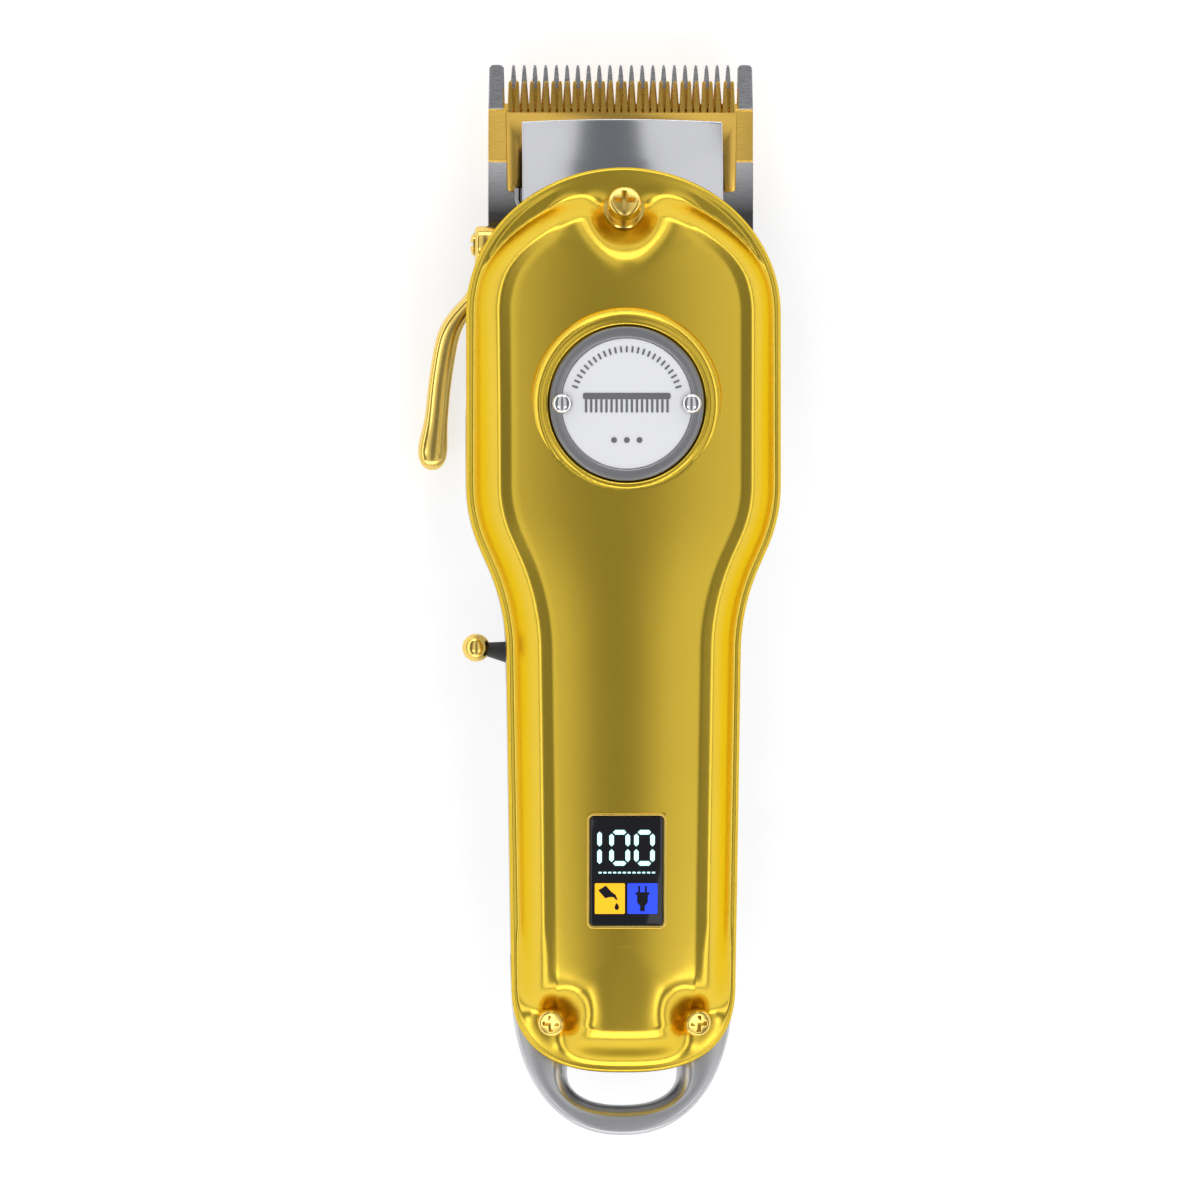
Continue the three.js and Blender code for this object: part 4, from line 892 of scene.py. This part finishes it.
def comb_blade():
    """The fixed blade: a bar with a shallow gold land, 21 fine teeth and a wide tooth at each end."""
    low, high = box_mm("comb_blade")
    top, bottom, tip = high.z, low.z, high.y
    root_y, pitch, end_half = 85.4, 1.865, 1.4
    body = [(low.y, bottom), (low.y, top), (76.0, top), (76.25, top - 0.3), (84.95, top - 0.3), (85.2, top),
            (86.2, top - 0.15), (86.2, bottom + 1.6), (78.0, bottom)]
    parts = [ribbon(body, high.x, 0.12)]
    fine_root, fine_tip = (bottom + 1.5, top - 0.02), (top - 1.5, top - 0.5)
    for i in range(21):
        parts.append(tooth((i - 10) * pitch, root_y, tip, 0.8, 0.24, fine_root, fine_tip))
    wide_root, wide_tip = (bottom + 1.5, top), (top - 1.6, top - 0.35)
    for side in (-1, 1):
        x = side * (high.x - end_half)
        parts.append(tooth(x, root_y, tip, end_half, 1.25, wide_root, wide_tip))
    piece("comb_blade_fine", joined("comb", parts), COMB_STEEL, "comb", "blade_steel", ("comb_blade",), 30)


def cutter_blade():
    """The moving blade: a bar with a leg down each side and 32 teeth."""
    low, high = box_mm("cutter_blade")
    bottom, top, tip = low.z, high.z, high.y
    half, inner, foot = high.x, high.x - 3.0, low.y
    outline = [(half, 84.6), (-half, 84.6), (-half + 0.2, foot + 0.5), (-half + 0.7, foot),
               (-inner - 0.5, foot), (-inner, foot + 0.5), (-inner, 76.0), (-inner + 0.5, 77.0),
               (inner - 0.5, 77.0), (inner, 76.0), (inner, foot + 0.5), (inner + 0.5, foot),
               (half - 0.7, foot), (half - 0.2, foot + 0.5)]
    parts = [prism("body", outline, bottom, top - 0.5, 0.12)]
    for i in range(32):
        x = (i - 15.5) * 1.247
        parts.append(tooth(x, 84.2, tip, 0.5, 0.26, (bottom, top - 0.62), (bottom, bottom + 1.5)))
    mesh = joined("cutter", parts)
    piece("cutter_blade_fine", mesh, GOLD_BLADE, "cutter", "gold_blade", ("cutter_blade",), 30)


# CAD nodes that keep their own mesh and only take a material.
CARRIED = {
    "display_board": BOARD, "blade_screw_left": BLADE_STEEL, "blade_screw_right": BLADE_STEEL,
    "blade_carrier": BLACK_PLASTIC, "blade_driver": WHITE_PLASTIC, "blade_spring": BLADE_STEEL,
    "blade_bridge": BLACK_PLASTIC, "taper_cam": BLADE_STEEL, "taper_bush": BLACK_PLASTIC,
    "motor_can": MOTOR_STEEL, "motor_end_cap": BLACK_PLASTIC, "motor_shaft": MOTOR_STEEL,
    "eccentric_cam": BRASS, "eccentric_bearing": MOTOR_STEEL, "motor_bracket": MOTOR_STEEL,
    "motor_screw_left": MOTOR_STEEL, "motor_screw_right": MOTOR_STEEL, "toggle_switch_body": BLACK_PLASTIC,
    "battery_cell": CELL_WRAP, "battery_tab_front": MOTOR_STEEL, "battery_tab_rear": MOTOR_STEEL,
    "main_board": BOARD, "charging_socket": BLACK_PLASTIC, "charging_pin": MOTOR_STEEL,
}


def carried_nodes():
    for node, material in CARRIED.items():
        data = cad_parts[node]
        for held in data.material_slots:
            held.material = material


# ---- stage ----
def area_light(name, place, target, width, length, power, along):
    """A softbox that faces its target; its length runs along a world direction."""
    light = bpy.data.lights.new(name, "AREA")
    light.shape = "RECTANGLE"
    light.size, light.size_y = width, length
    light.energy = power
    obj = bpy.data.objects.new(name, light)
    bpy.context.scene.collection.objects.link(obj)
    back = (Vector(place) - Vector(target)).normalized()
    side = Vector(along).cross(back).normalized()
    turn = Matrix((side, back.cross(side), back)).transposed().to_4x4()
    obj.matrix_world = Matrix.Translation(place) @ turn


def stage():
    """A pale floor under long softboxes, which draw the bands of light along the cover."""
    floor_mesh = prism("floor", rounded_rectangle(3000, 3000, 10, 2), -10, -0.05)
    floor = bpy.data.objects.new("floor", floor_mesh)
    bpy.context.scene.collection.objects.link(floor)
    pale = moulded("pale_floor", (0.86, 0.86, 0.86), 0.7, 40, 0.02,
                   Emission_Color=(1, 1, 1, 1), Emission_Strength=0.38)
    floor_mesh.materials.append(pale)
    length_way, cross_way = (0, 1, 0), (1, 0, 0)
    for side, label in ((-1, "left"), (1, "right")):
        area_light(label + "_top_panel", (side * 0.42, 0, 1.2), (0, 0, 0.02), 0.5, 4.0, 4.6, length_way)
        area_light(label + "_side_panel", (side * 0.85, 0, 0.34), (0, 0, 0.02), 0.35, 3.2, 5.5, length_way)
        key_place, key_target = (side * 0.52, -0.52, 1.0), (0, -0.07, 0.03)
        area_light(label + "_tail_key", key_place, key_target, 0.3, 0.3, 0.6, length_way)
    area_light("nose_panel", (0, 1.5, 0.5), (0, 0.03, 0.02), 0.5, 1.6, 7.0, cross_way)
    area_light("tail_panel", (0, -1.5, 0.5), (0, -0.03, 0.02), 0.5, 1.6, 7.0, cross_way)
    world = bpy.data.worlds.new("studio")
    bpy.context.scene.world = world
    world.use_nodes = True
    world.node_tree.nodes["Background"].inputs["Color"].default_value = (0.9, 0.93, 1, 1)
    world.node_tree.nodes["Background"].inputs["Strength"].default_value = 0.2


def camera():
    """Looks straight down on the front cover from slightly to the left, as wide as the whole picture."""
    distance = 4.0
    field = 0.2085  # width of what is seen at the clipper
    lean = math.radians(2.5)
    data = bpy.data.cameras.new("camera")
    data.lens = 36.0 * distance / field
    data.sensor_width = 36.0
    obj = bpy.data.objects.new("camera", data)
    bpy.context.scene.collection.objects.link(obj)
    target = Vector((-3.7, -0.1, 15.0)) * MM
    away = Vector((-math.sin(lean), 0, math.cos(lean)))
    obj.location = target + away * distance
    side = Vector((math.cos(lean), 0, math.sin(lean)))
    up = Vector((0, 1, 0))
    obj.rotation_euler = Matrix((side, up, away)).transposed().to_euler()
    bpy.context.scene.camera = obj


front_shell()
rear_shell()
hanging_loop()
case_screws()
badge()
display()
blade_cover()
taper_lever()
power_toggle()
comb_blade()
cutter_blade()
carried_nodes()
stage()
camera()
bpy.context.scene.view_settings.view_transform = "Standard"
